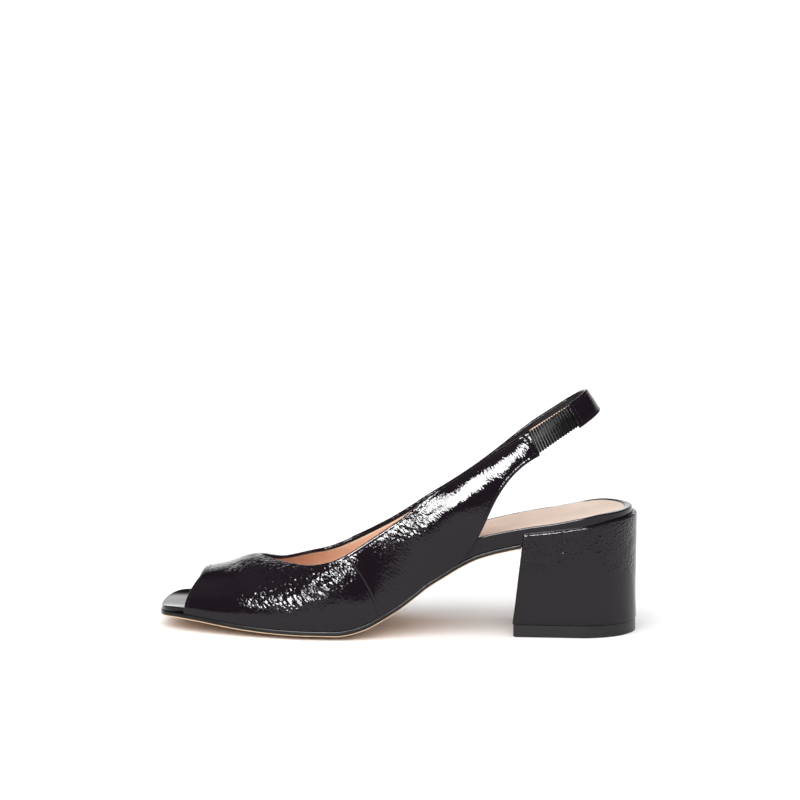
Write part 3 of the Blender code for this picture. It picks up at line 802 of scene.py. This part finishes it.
def build_strap_sheet():
    """The strap as a sheet between the elastic and the inner wing."""
    places = STRAP_SPAN[0] + crowded(STRAP_SPAN[1] - STRAP_SPAN[0], STRAP_CUTS)
    lines = []
    for distance in places:
        low, top, out = band_line(distance)
        run = crowded(np.linalg.norm(top - low), STRAP_ACROSS)
        share = (run / run[-1])[:, None]
        crowned = STRAP_LIFT + STRAP_CROWN * np.sin(np.pi * share)
        lines.append(low + (top - low) * share + out * crowned)
    lines = np.array(lines)
    across = lines.shape[1]
    edges = [lines[:, 0], lines[:, -1], lines[0]]
    return Sheet(lines.reshape(-1, 3), grid_faces(len(places), across), edges), lines


# Boards: the outsole, the footbed and the sock
def plan_grid(rows, edge):
    """Plan points of a board, one line for each station from the outer to the inner edge."""
    grid = np.empty((len(rows), BOARD_ACROSS + 1, 2))
    for i, x in enumerate(rows):
        grid[i, :, 0] = x
        grid[i, :, 1] = np.linspace(-edge(x, -1), edge(x, 1), BOARD_ACROSS + 1)
    return grid


def border_numbers(rows, across):
    """Numbers of the points round a grid, in order."""
    numbers = np.arange(rows * across).reshape(rows, across)
    return np.concatenate((numbers[0], numbers[1:, -1], numbers[-1, -2::-1], numbers[-2:0:-1, 0]))


def stations(first, last, cuts, extra=()):
    """Stations that crowd toward both rounded ends."""
    share = np.linspace(0, 1, cuts + 1)
    mixed = END_CROWDING * (1 - np.cos(math.pi * share)) / 2 + (1 - END_CROWDING) * share
    return np.array(sorted([*(first + (last - first) * mixed), *extra]))


def build_board(name, rows, edge, rings, made, node, label=None):
    """A sole layer: rings from the underside round the edge to the topside, then both faces filled."""
    grid = plan_grid(rows, edge)
    count, across = grid.shape[:2]
    border = border_numbers(count, across)
    loop = grid.reshape(-1, 2)[border]
    tangent = np.roll(loop, -1, axis=0) - np.roll(loop, 1, axis=0)
    inward = np.column_stack((tangent[:, 1], -tangent[:, 0]))
    inward /= np.linalg.norm(inward, axis=1, keepdims=True)
    points, faces, paint = [], [], []
    size = len(loop)

    def moved_in(inset):
        return loop + inward * (inset(inward) if callable(inset) else inset)

    for inset, height, rise, _ in rings:
        ring = moved_in(inset)
        points += list(at_height(ring, height(ring[:, 0], ring[:, 1]) + rise))
    for k in range(len(rings) - 1):
        for i in range(size):
            a, b = k * size + i, k * size + (i + 1) % size
            faces.append((a, a + size, b + size, b))
            paint.append(rings[k + 1][3])
    share = np.linspace(0, 1, across)[None, :, None]
    for inset, height, rise, tone in (rings[0], rings[-1]):
        plan = grid.reshape(-1, 2).copy()
        plan[border] = moved_in(inset)
        plan = plan.reshape(count, across, 2)
        plan[1:-1] = plan[1:-1, :1] * (1 - share) + plan[1:-1, -1:] * share
        plan = plan.reshape(-1, 2)
        filled = grid_faces(count, across, len(points))
        points += list(at_height(plan, height(plan[:, 0], plan[:, 1]) + rise))
        faces += filled
        paint += [tone] * len(filled)
    marks = {label: ("FACE", paint)} if label else None
    return make_piece(name, points, faces, made, (node,), marks=marks)


def rounded_rim(radius, height, tone, steps=6):
    """Rings over a rounded top edge."""
    angles = np.linspace(0, math.pi / 2, steps + 1)
    return [(radius * (1 - math.cos(a)), height, -radius * (1 - math.sin(a)), tone) for a in angles]


# Heel: the covered block and the space that is cut from it
def heel_rings():
    """Rings of the block from its foot over the rounded lip."""
    foot = LIFT_HEIGHT + CUP_GAP
    rings = [at_height(heel_outline(0.0, inset), foot + rise) for inset, rise in HEEL_FOOT]
    for level in np.linspace(HEEL_FIRST_LEVEL, 1.0, HEEL_LEVELS):
        ring = heel_outline(level)
        lip = eased(LIP, "height", ring[:, 0]) - LIP_ROUND
        rings.append(at_height(ring, foot + level * (lip - foot)))
    for angle in np.linspace(0, math.pi / 2, LIP_CUTS + 1)[1:]:
        ring = heel_outline(1.0, LIP_ROUND * (1 - math.cos(angle)))
        rings.append(at_height(ring, eased(LIP, "height", ring[:, 0]) - LIP_ROUND * (1 - math.sin(angle))))
    return rings


def cup_rings():
    """The space of the footbed's seat, open above."""
    rings = []
    for x in stations(SOLE_END - CUP_LEAD, SEAT_END + CUP_GAP - CUP_SPARE, CUP_CUTS):
        y = np.linspace(-half_width(x, -1, CUP_GAP), half_width(x, 1, CUP_GAP), CUP_ACROSS)
        low = np.column_stack((np.full(CUP_ACROSS, x), y, bed_under(x, y) - CUP_GAP))
        rings.append(np.vstack((low, low[::-1] + (0, 0, CUP_DEPTH))))
    return rings


# Node helpers
def add_node(tree, kind, settings, sockets):
    """Add a node: its settings first, then the values or links of its sockets."""
    made = tree.nodes.new(kind)
    for key, value in settings.items():
        setattr(made, key, value)
    for key, value in sockets.items():
        if isinstance(value, bpy.types.NodeSocket):
            tree.links.new(value, made.inputs[key])
        else:
            made.inputs[key].default_value = value
    return made.outputs


class Wire:
    """A shader socket that can be used in sums."""

    def __init__(self, sums, socket):
        self.sums, self.socket = sums, socket

    def sum(self, operation, *values):
        return self.sums.node("ShaderNodeMath", {"operation": operation}, dict(enumerate(values)))

    def __add__(self, other):
        return self.sum("ADD", self, other)

    def __rsub__(self, other):
        return self.sum("SUBTRACT", other, self)

    def __mul__(self, other):
        return self.sum("MULTIPLY", self, other)

    def __truediv__(self, other):
        return self.sum("DIVIDE", self, other)

    def clear_of(self, start, end):
        """A soft change from 0 to 1 between two values."""
        return self.sums.node(
            "ShaderNodeMapRange", {"interpolation_type": "SMOOTHSTEP"},
            {"Value": self, "From Min": start, "From Max": end})


class Sums:
    """Sums of wires in one shader tree."""

    def __init__(self, tree):
        self.tree = tree

    def node(self, kind, settings, sockets, out=0):
        linked = {key: getattr(value, "socket", value) for key, value in sockets.items()}
        return Wire(self, add_node(self.tree, kind, settings, linked)[out])

    def vector(self, operation, first, second):
        other = "Scale" if operation == "SCALE" else 1
        return self.node("ShaderNodeVectorMath", {"operation": operation}, {0: first, other: second})

    def spot(self, kind="Object"):
        return self.node("ShaderNodeTexCoord", {}, {}, kind)

    def axis(self, spot, letter):
        return self.node("ShaderNodeSeparateXYZ", {}, {0: spot}, letter)


class Finish(Sums):
    """One procedural material of the shoe."""

    def __init__(self, name, **plain):
        self.material = bpy.data.materials.new(name)
        self.material.use_nodes = True
        super().__init__(self.material.node_tree)
        self.shader = self.tree.nodes["Principled BSDF"]
        for socket, value in plain.items():
            self.shader.inputs[socket.replace("_", " ").title().replace("Ior", "IOR")].default_value = value

    def place(self, size, lean=0.0):
        """Object coordinates, leaned to one side and counted in grains of a given size in millimetres."""
        spot = self.spot()
        if lean:
            spot = self.node("ShaderNodeVectorRotate", {"rotation_type": "Y_AXIS"}, {
                "Vector": spot, "Angle": math.radians(lean)})
        sizes = size if isinstance(size, tuple) else (size, size, size)
        return self.vector("MULTIPLY", spot, tuple(1 / (MM * s) for s in sizes))

    def along(self, letter):
        """Place along one axis of the shoe in millimetres."""
        return self.axis(self.spot(), letter) / MM

    def noise(self, size, detail=2.0, rough=0.5, out=0):
        return self.node("ShaderNodeTexNoise", {}, {
            "Vector": self.place(size), "Scale": 1.0, "Detail": detail, "Roughness": rough}, out)

    def cells(self, vector, feature="F1", **more):
        return self.node("ShaderNodeTexVoronoi", {"feature": feature}, {
            "Vector": vector, "Scale": 1.0, "Randomness": 1.0, **more})

    def shifted(self, vector, by, reach):
        """A vector field moved about by a colour noise."""
        centred = self.vector("SUBTRACT", by, (0.5, 0.5, 0.5))
        return self.vector("ADD", vector, self.vector("SCALE", centred, reach))

    def mark(self, label):
        return self.node("ShaderNodeAttribute", {"attribute_name": label}, {}, "Fac")

    def blend(self, share, first, second):
        """A colour between two colours."""
        first, second = (c if isinstance(c, Wire) else (*c, 1.0) for c in (first, second))
        return self.node("ShaderNodeMix", {"data_type": "RGBA"}, {0: share, 6: first, 7: second}, 2)

    def stained(self, size, light, dark):
        """Leather colour with soft stains."""
        return self.blend(self.noise(size, 4.0, 0.55).clear_of(0.3, 0.7), light, dark)

    def feed(self, socket, wire):
        self.tree.links.new(wire.socket, self.shader.inputs[socket])

    def emboss(self, height, depth):
        """Raise the surface by a height field, with the depth in millimetres."""
        self.feed("Normal", self.node("ShaderNodeBump", {}, {
            "Height": height, "Distance": depth * MM, "Strength": 1.0}))


# Materials
PATENT_BLACK = (0.0072, 0.0048, 0.0074, 1.0)
PATENT_GLOSS = 0.30


def short_creases(made, skin):
    return made.cells(skin, "SMOOTH_F1", Smoothness=0.5)


def broad_creases(made, skin):
    """Short creases, with broader ones where the crinkle is strongest."""
    broad = made.cells(made.vector("SCALE", skin, 0.52), "SMOOTH_F1", Smoothness=0.35)
    share = made.mark("rumple").clear_of(0.6, 1.4)
    return short_creases(made, skin) * (1 - share * 0.45) + broad * share * 2.2


def patent_finish(name, grain, lean, depth, roughness, calm, wrinkles=short_creases):
    """Glossy black patent whose skin is crinkled in short leaning wrinkles."""
    made = Finish(name, base_color=PATENT_BLACK, ior=1.47, specular_ior_level=PATENT_GLOSS)
    wander = made.noise((2.2, 2.2, 2.8), 2.0, out="Color")
    skin = made.shifted(made.place(grain, lean), wander, 0.9)
    crease = wrinkles(made, skin)
    fine = made.noise((0.42, 0.42, 0.6), 1.0)
    patchy = made.noise(10.0, 1.0).clear_of(0.3, 0.62) * 0.55 + 0.45
    swell = made.noise((7.0, 7.0, 9.0), 1.0)
    made.emboss((crease + fine * 0.22) * patchy * calm(made) + swell * 0.5, depth)
    made.feed("Roughness", made.noise(9.0, 3.0) * 0.04 + roughness)
    return made.material


def marked_rumple(made):
    """Listed share of crinkle."""
    return made.mark("rumple")


def even_grain(made):
    return made.noise(14.0, 1.0) * 0.5 + 0.5


def heel_calm(made):
    """The heel cover is smooth low down and crinkled near the seat."""
    return (made.along("Z") + made.noise(9.0, 1.0) * 14.0).clear_of(24.0, 44.0) * 0.9 + 0.1


def bed_calm(made):
    """The footbed's wrap is smooth on top and crinkled round the toe edge."""
    return made.mark("wrap") * (1 - made.along("X").clear_of(-108.0, -98.0)) * 0.9 + 0.1


def sock_finish():
    """Matte beige leather with pores and soft stains."""
    made = Finish("sock_leather", ior=1.45, specular_ior_level=0.25)
    made.feed("Base Color", made.stained(16.0, (0.59, 0.475, 0.405), (0.53, 0.42, 0.35)))
    made.emboss(made.cells(made.place(0.5)) * 0.6 + made.noise(3.0, 3.0), 0.03)
    made.feed("Roughness", made.noise(4.0, 2.0) * 0.12 + 0.55)
    return made.material


def lining_finish():
    """Tan lining leather, painted paler along its cut edge as a painted highlight where the edge catches
    light.
    """
    made = Finish("lining_leather", ior=1.45)
    skin = made.stained(14.0, (0.88, 0.52, 0.36), (0.79, 0.45, 0.30))
    # Painted highlight: the lining is painted paler within about a millimetre of its cut edge, where the edge
    # catches light
    beyond_edge_highlight = made.mark("edge_run").clear_of(TURN_IN + 0.5, TURN_IN + 0.95)
    made.feed("Base Color", made.blend(beyond_edge_highlight, (0.88, 0.66, 0.50), skin))
    made.emboss(made.cells(made.place(0.45)) + made.noise(3.0, 3.0), 0.03)
    made.feed("Roughness", made.noise(4.0, 2.0) * 0.1 + 0.5)
    return made.material


def sole_finish():
    """Tan sole leather with black edge paint and a pale bevel, partly the natural edge colour and partly a
    painted highlight where the bevel catches light and reflects the floor.
    """
    made = Finish("sole_leather", ior=1.45, specular_ior_level=0.2)
    tone = made.mark("edge_paint")
    fibre = made.noise((6.0, 2.0, 2.0), 4.0, 0.6).clear_of(0.25, 0.75)
    leather = made.blend(fibre, (0.66, 0.40, 0.22), (0.58, 0.33, 0.17))
    # Painted highlight: the bevel is painted cream, paler than the underside leather, where it catches light
    # and reflects the floor; the cream also stands for the natural edge colour
    bevel = made.blend(tone.clear_of(0.2, 0.4), leather, (0.86, 0.70, 0.52))
    made.feed("Base Color", made.blend(tone.clear_of(0.7, 0.9), bevel, (0.011, 0.010, 0.010)))
    made.feed("Roughness", 0.5 - tone.clear_of(0.7, 0.9) * 0.25 + fibre * 0.1)
    made.emboss(made.noise((1.2, 0.5, 0.5), 3.0), 0.04)
    return made.material


def elastic_finish():
    """Black elastic cloth with a fine weave along its ribs."""
    made = Finish("elastic_cloth", ior=1.45, specular_ior_level=0.07)
    weave = made.cells(made.place((0.3, 0.3, 0.22)))
    dust = made.noise(2.0, 3.0)
    made.feed("Base Color", made.blend(weave * dust, (0.004, 0.0035, 0.004), (0.014, 0.012, 0.013)))
    made.feed("Roughness", weave * 0.08 + 0.14)
    made.emboss(weave, 0.008)
    return made.material


def black_finish(name, gloss, grain, detail, dark, light, roughness, depth):
    """Black thread or rubber, whose one fine grain gives its colour, gloss and relief."""
    made = Finish(name, ior=1.45, specular_ior_level=gloss)
    skin = made.noise(grain, detail)
    smooth, spread = roughness
    made.feed("Base Color", made.blend(skin, dark, light))
    made.feed("Roughness", skin * spread + smooth)
    made.emboss(skin, depth)
    return made.material


UPPER_PATENT = patent_finish("crinkled_patent", (0.9, 1.1, 1.9), 48.0, 0.24, 0.03,
                             marked_rumple, broad_creases)
STRAP_PATENT = patent_finish("strap_patent", (0.8, 1.0, 1.4), 48.0, 0.1, 0.05, even_grain)
BED_PATENT = patent_finish("footbed_patent", (1.0, 1.0, 0.9), 20.0, 0.12, 0.05, bed_calm)
HEEL_PATENT = patent_finish("heel_patent", (1.7, 1.7, 1.0), 16.0, 0.34, 0.06, heel_calm)
SOCK_LEATHER = sock_finish()
LINING = lining_finish()
SOLE_LEATHER = sole_finish()
ELASTIC_CLOTH = elastic_finish()
THREAD = black_finish("black_thread", 0.15, 0.15, 1.0, (0.006, 0.005, 0.006), (0.02, 0.018, 0.02),
                      (0.25, 0.2), 0.05)
LIFT_RUBBER = black_finish("lift_rubber", 0.3, 0.7, 3.0, (0.009, 0.0085, 0.009), (0.016, 0.015, 0.016),
                           (0.26, 0.15), 0.03)


# Geometry Nodes for the wound ribs of the elastic and for the stitches
def node_tree(name, inputs):
    """An empty node tree with named sizes, its input and output nodes and a maker of further nodes."""
    tree = bpy.data.node_groups.new(name, "GeometryNodeTree")
    tree.interface.new_socket("Geometry", in_out="INPUT", socket_type="NodeSocketGeometry")
    for label, kind in inputs.items():
        tree.interface.new_socket(label, in_out="INPUT", socket_type=kind)
    tree.interface.new_socket("Geometry", in_out="OUTPUT", socket_type="NodeSocketGeometry")
    source = tree.nodes.new("NodeGroupInput")
    result = tree.nodes.new("NodeGroupOutput")

    def add(kind, settings, sockets):
        return add_node(tree, kind, settings, sockets)

    def end(geometry):
        whole = add("GeometryNodeRealizeInstances", {}, {"Geometry": geometry})
        painted = add("GeometryNodeSetMaterial", {}, {
            "Geometry": whole["Geometry"], "Material": source.outputs["Material"]})
        tree.links.new(painted["Geometry"], result.inputs["Geometry"])

    return tree, source.outputs, add, end


def rib_tree():
    """Each closed guide line becomes one wound rib."""
    tree, size, add, end = node_tree("elastic_ribs", {
        "Rib Radius": "NodeSocketFloat", "Rib Sides": "NodeSocketInt", "Material": "NodeSocketMaterial"})
    path = add("GeometryNodeMeshToCurve", {}, {"Mesh": size["Geometry"]})
    round_rib = add("GeometryNodeCurvePrimitiveCircle", {}, {
        "Radius": size["Rib Radius"], "Resolution": size["Rib Sides"]})
    swept = add("GeometryNodeCurveToMesh", {}, {"Curve": path["Curve"], "Profile Curve": round_rib["Curve"]})
    end(swept["Mesh"])
    return tree


def stitch_tree():
    """Even stitches along the guide lines, each a slim bead of thread."""
    tree, size, add, end = node_tree("stitch_rows", {
        "Pitch": "NodeSocketFloat", "Stitch Length": "NodeSocketFloat",
        "Thread Width": "NodeSocketFloat", "Material": "NodeSocketMaterial"})
    path = add("GeometryNodeMeshToCurve", {}, {"Mesh": size["Geometry"]})
    spots = add("GeometryNodeCurveToPoints", {"mode": "LENGTH"}, {
        "Curve": path["Curve"], "Length": size["Pitch"]})
    bead = add("GeometryNodeMeshUVSphere", {}, {"Segments": 6, "Rings": 5, "Radius": 0.5})
    scale = add("ShaderNodeCombineXYZ", {}, {
        "X": size["Thread Width"], "Y": size["Thread Width"], "Z": size["Stitch Length"]})
    sewn = add("GeometryNodeInstanceOnPoints", {}, {
        "Points": spots["Points"], "Instance": bead["Mesh"], "Rotation": spots["Rotation"],
        "Scale": scale["Vector"]})
    end(sewn["Instances"])
    return tree


def grown_mesh(name, tree, lines, closed, sizes):
    """Run a node tree over guide lines and keep the result as a plain mesh."""
    points, edges = [], []
    for line in lines:
        first = len(points)
        points += moved_to_frame(line)
        edges += [(first + i, first + i + 1) for i in range(len(line) - 1)]
        if closed:
            edges.append((len(points) - 1, first))
    guide = bpy.data.meshes.new(name + "_guide")
    guide.from_pydata(points, edges, [])
    carrier = in_scene(name + "_guide", guide)
    grow = carrier.modifiers.new("grow", "NODES")
    grow.node_group = tree
    for item in tree.interface.items_tree:
        if item.in_out == "INPUT" and item.name in sizes:
            grow[item.identifier] = sizes[item.name]
    return taken_mesh(carrier)


def end_row(points, grid, inner):
    """Places of a stitch row across the end of a band, one on each of its inner lines."""
    return [placed(points[line], [END_STITCH])[0] for line in grid[:, inner].T]


# Build the sole layers from rings of inset, height, rise and tone
sole_rows = stations(TOE_TIP - FLUSH_OUTSET + TOE_SPARE, SOLE_END + SOLE_TUCK, BOARD_CUTS,
                     (WAIST_STEP - WAIST_STEP_REACH, WAIST_STEP + WAIST_STEP_REACH))
# The bevel ring's tone 0.3 paints the bevel half way to cream: a painted highlight on the natural edge colour
build_board("outsole_leather", sole_rows, sole_edge, [
    (1.6, sole_under, 0.0, 0.0), (SOLE_BEVEL, sole_under, 0.0, 0.0),
    (0.0, sole_under, SOLE_BEVEL * 0.8, 0.3), (0.0, sole_top, -0.3, 1.0),
    (0.1, sole_top, -0.08, 1.0), (0.3, sole_top, 0.0, 1.0), (2.0, sole_top, 0.0, 1.0)],
    SOLE_LEATHER, "outsole", "edge_paint")
bed_rows = stations(TOE_TIP + TOE_SPARE, SEAT_END - END_SPARE, BOARD_CUTS)
build_board("footbed_cover", bed_rows, half_width, [
    (1.4, bed_under, 0.0, 0.0), (0.2, bed_under, 0.0, 0.0), (0.0, bed_under, 0.2, 1.0),
    *rounded_rim(BED_RIM, rim_top, 1.0),
    (rim_inside(0.9), rim_top, 0.0, 0.0), (rim_inside(0.97), rim_top, -0.12, 0.0),
    (rim_inside(1.0), bed_top, 0.0, 0.0), (rim_inside(1.6), bed_top, 0.0, 0.0)],
    BED_PATENT, "footbed", "wrap")
sock_rows = stations(SOCK_FRONT, SOCK_BACK - END_SPARE, BOARD_CUTS)
build_board("sock_lining", sock_rows, sock_edge, [
    (0.8, sock_under, 0.0, 0.0), (0.0, sock_under, 0.0, 0.0),
    *rounded_rim(SOCK_RIM, sock_top, 0.0, 3), (1.4, sock_top, 0.0, 0.0)],
    SOCK_LEATHER, "sock")

# Build the upper and its lining
upper, ribs, marks, seam_run, feather_run = build_upper_sheet()
wing_end = line_distance(upper.points, [ribs[-1][-1]])
pressed = END_PRESS * np.clip(1 - wing_end / END_REACH, 0.0, 1.0) ** 1.3
cover_out, cover_in = upper.cover(UPPER_WALL, seam_relief(seam_run) - pressed)
body, faces = shell(cover_out, cover_in, upper.faces)
rumple = np.full(len(upper.points), RUMPLE_PLAIN)
for x, z, reach, share in RUMPLE_PATCHES:
    rumple += share * np.exp(-((upper.points[:, 0] - x) ** 2 + (upper.points[:, 2] - z) ** 2) / reach ** 2)
rumple *= RUMPLE_LOW + (1 - RUMPLE_LOW) * soft_step(feather_run, *RUMPLE_CLIMB)
rumple += END_CRINKLE * np.exp(-(wing_end / END_REACH) ** 4)
rumple = np.clip(np.tile(rumple, 2), 0.0, RUMPLE_MOST)
make_piece("upper_cover", body, faces, UPPER_PATENT, ("upper",), 60,
           {"rumple": ("POINT", rumple)})
body, faces, run = upper.lining(UPPER_WALL)
make_piece("upper_lining", body, faces, LINING, (), 50, {"edge_run": ("POINT", run)})

# Build the strap, its lining and the elastic
strap, strap_lines = build_strap_sheet()
strap_out, strap_in = strap.cover(BAND_WALL)
body, faces = shell(strap_out, strap_in, strap.faces)
make_piece("strap_cover", body, faces, STRAP_PATENT, ("sling_strap",), 60)
body, faces, run = strap.lining(BAND_WALL)
make_piece("strap_lining", body, faces, LINING, (), 50, {"edge_run": ("POINT", run)})

core_places = np.linspace(ELASTIC_SPAN[0] - ELASTIC_TUCK, ELASTIC_SPAN[1] + ELASTIC_TUCK, CORE_CUTS)
elastic_share = np.linspace(*ELASTIC_ACROSS, CORE_ACROSS)[:, None]
core_lines = []
for distance in core_places:
    low, top, out = band_line(distance, ELASTIC_TRIM)
    core_lines.append(low + (top - low) * elastic_share - out * CORE_SINK)
core = Sheet(np.array(core_lines).reshape(-1, 3), grid_faces(CORE_CUTS, CORE_ACROSS), [core_lines[0]])
half = core.normals * CORE_HALF
body, faces = shell(core.points + half, core.points - half, core.faces)
make_piece("elastic_core", body, faces, ELASTIC_CLOTH, ("elastic_joint",), 60)
rib_pitch = (ELASTIC_SPAN[1] - ELASTIC_SPAN[0]) / ELASTIC_RIBS
rib_loops = []
for i in range(-1, ELASTIC_RIBS + 1):
    low, top, out = band_line(ELASTIC_SPAN[0] + (i + 0.5) * rib_pitch, ELASTIC_TRIM)
    bulge = RIB_CROWN * (np.sin(np.pi * elastic_share) - RIB_SINK)
    across = low + (top - low) * elastic_share + out * bulge
    rib_loops.append(np.vstack((across - out * RIB_FRONT, across[::-1] - out * RIB_BACK)))
elastic = grown_mesh("elastic_ribs", rib_tree(), rib_loops, True, {
    "Rib Radius": RIB_RADIUS * MM, "Rib Sides": RIB_SIDES, "Material": ELASTIC_CLOTH})
finish_piece("elastic_ribs", elastic, ELASTIC_CLOTH, (), 60)

# Sew the rows of stitches, clear of the throat, the feather line and the toe corners
groove = int(np.argmin(np.abs(EDGE_STEPS - GROOVE_PLACE)))
inner = slice(groove + 2, -groove - 2)
stitched = []
for grid in upper.number.reshape(2, len(marks), -1):
    stitched.append(cover_out[grid[marks > THROAT_ROW + STITCH_START_COLLAR][:, -1 - groove]])
    stitched.append(cover_out[grid[marks > FEATHER_ROW + STITCH_START_REAR][:, groove]])
    stitched.append(cover_out[grid[groove, STITCH_START_TOE:]])
    stitched.append(end_row(cover_out, grid[::-1], inner))
strap_grid = strap.number.reshape(strap_lines.shape[:2])
stitched.append(end_row(strap_out, strap_grid, inner))
for k in (groove, -1 - groove):
    stitched.append(strap_out[strap_grid[inner, k]])
threads = grown_mesh("edge_stitches", stitch_tree(), stitched, False, {
    "Pitch": STITCH_PITCH * MM, "Stitch Length": STITCH_LENGTH * MM,
    "Thread Width": THREAD_WIDTH * MM, "Material": THREAD})
finish_piece("edge_stitches", threads, THREAD, (), 60)

# Build the heel block with its cup, and the lift
block, cup = (in_scene(name, closed_mesh(name, *capped_rings(rings))) for name, rings in (
    ("heel_block", heel_rings()), ("heel_cup", cup_rings())))
hollow = block.modifiers.new("cup", "BOOLEAN")
hollow.operation = "DIFFERENCE"
hollow.solver = "EXACT"
hollow.object = cup
finish_piece("heel_cover", taken_mesh(block), HEEL_PATENT, ("heel",), 35)
bpy.data.objects.remove(cup, do_unlink=True)
ease_in, ease_down = LIFT_EASE
lift_steps = ((LIFT_BEVEL, 0.0), (0.0, LIFT_BEVEL), (0.0, LIFT_HEIGHT - ease_down), (ease_in, LIFT_HEIGHT))
body, faces = capped_rings([at_height(heel_outline(0.0, LIFT_INSET + inset), z) for inset, z in lift_steps])
make_piece("heel_lift", body, faces, LIFT_RUBBER, ("top_lift",), 30)


# Studio: pale floor, soft light and the camera
FLOOR_REACH = 60.0
FLOOR_LINE = (0.05, 0.10)
WALL_DEPTH = (0.45, 0.85)
WALL_TOP = (0.15, 0.45)
WALL_GLOW = 1.6
CEILING_RISE = (0.6, 0.85)
CEILING_GLOW = 0.18
ROOM_GLOW = 0.014
CAMERA_TARGET = Vector((0.00084, 0.00109, 0.113))
CAMERA_DISTANCE = 1.6
CAMERA_SIDE = (4.7, 8.5)
CAMERA_SENSOR = 36.0
CAMERA_LENS = 146.16


def stage_floor():
    mesh = bpy.data.meshes.new("studio_floor")
    corners = [(x * FLOOR_REACH, y * FLOOR_REACH, 0) for x, y in ((-1, -1), (1, -1), (1, 1), (-1, 1))]
    mesh.from_pydata(corners, [], [(0, 1, 2, 3)])
    made = Finish("studio_paper", base_color=(0.8, 0.8, 0.8, 1.0), roughness=0.9, specular_ior_level=0.0)
    mesh.materials.append(made.material)
    floor = in_scene("studio_floor", mesh)


def studio_world():
    """A pale floor line and a white back wall; dark on the camera's side, so soft boxes show in the gloss."""
    world = bpy.data.worlds.new("studio")
    world.use_nodes = True
    room = Sums(world.node_tree)
    spot = room.spot("Generated")
    height, depth = room.axis(spot, "Z"), room.axis(spot, "Y")
    floor_line = 1 - height.clear_of(*FLOOR_LINE)
    wall = depth.clear_of(*WALL_DEPTH) * (1 - height.clear_of(*WALL_TOP)) * WALL_GLOW
    ceiling = height.clear_of(*CEILING_RISE) * CEILING_GLOW
    glow = floor_line.sum("MAXIMUM", floor_line, wall)
    glow = glow.sum("MAXIMUM", glow, ceiling + ROOM_GLOW)
    room.tree.links.new(glow.socket, room.tree.nodes["Background"].inputs["Strength"])
    room.tree.nodes["Background"].inputs["Color"].default_value = (1.0, 1.0, 1.0, 1.0)
    bpy.context.scene.world = world


def toward(azimuth, elevation):
    """Direction from the shoe; azimuth 0 is the camera's side and grows toward the heel."""
    a, e = math.radians(azimuth), math.radians(elevation)
    return Vector((math.sin(a) * math.cos(e), -math.cos(a) * math.cos(e), math.sin(e)))


def facing_lamp(name, kind, direction):
    """A lamp that faces the shoe from a direction."""
    lamp = in_scene(name, bpy.data.lights.new(name, kind))
    lamp.rotation_mode = "QUATERNION"
    lamp.rotation_quaternion = direction.to_track_quat("Z", "Y")
    return lamp


def plain_sun(name, direction, energy, spread):
    """Wide even light that is not seen in the gloss."""
    lamp = facing_lamp(name, "SUN", direction)
    lamp.data.energy, lamp.data.angle = energy, math.radians(spread)
    lamp.visible_glossy = False


def soft_box(name, target, direction, distance, size, glow):
    """A rectangular light that faces a point of the shoe and shows in its gloss."""
    lamp = facing_lamp(name, "AREA", direction)
    lamp.location = Vector(target) + direction * distance
    lamp.data.shape = "RECTANGLE"
    lamp.data.size, lamp.data.size_y = size
    lamp.data.energy = glow * math.pi * size[0] * size[1]
    lamp.visible_diffuse = lamp.visible_camera = False


stage_floor()
studio_world()
plain_sun("ceiling_glow", Vector((0, 0, 1)), 1.9, 140)
plain_sun("front_glow", toward(-15, 50), 2.15, 60)
plain_sun("low_fill", toward(6, 20), 0.9, 60)
plain_sun("toe_fill", toward(-80, 28), 0.9, 60)
plain_sun("heel_fill", toward(80, 28), 0.9, 60)
soft_box("side_box", (0.0, 0.0, 0.05), toward(-9.4, 34.3), 1.6, (0.733, 0.710), 52)
soft_box("wing_box", (0.024, -0.027, 0.065), toward(-32, 25), 0.35, (0.125, 0.098), 44)

back = toward(*CAMERA_SIDE)
lens = bpy.data.cameras.new("photo_camera")
lens.sensor_width = CAMERA_SENSOR
lens.lens = CAMERA_LENS
camera = in_scene("photo_camera", lens)
camera.location = CAMERA_TARGET + back * CAMERA_DISTANCE
camera.rotation_mode = "QUATERNION"
camera.rotation_quaternion = (-back).to_track_quat("-Z", "Y")
bpy.context.scene.camera = camera
bpy.context.scene.view_settings.view_transform = "Standard"
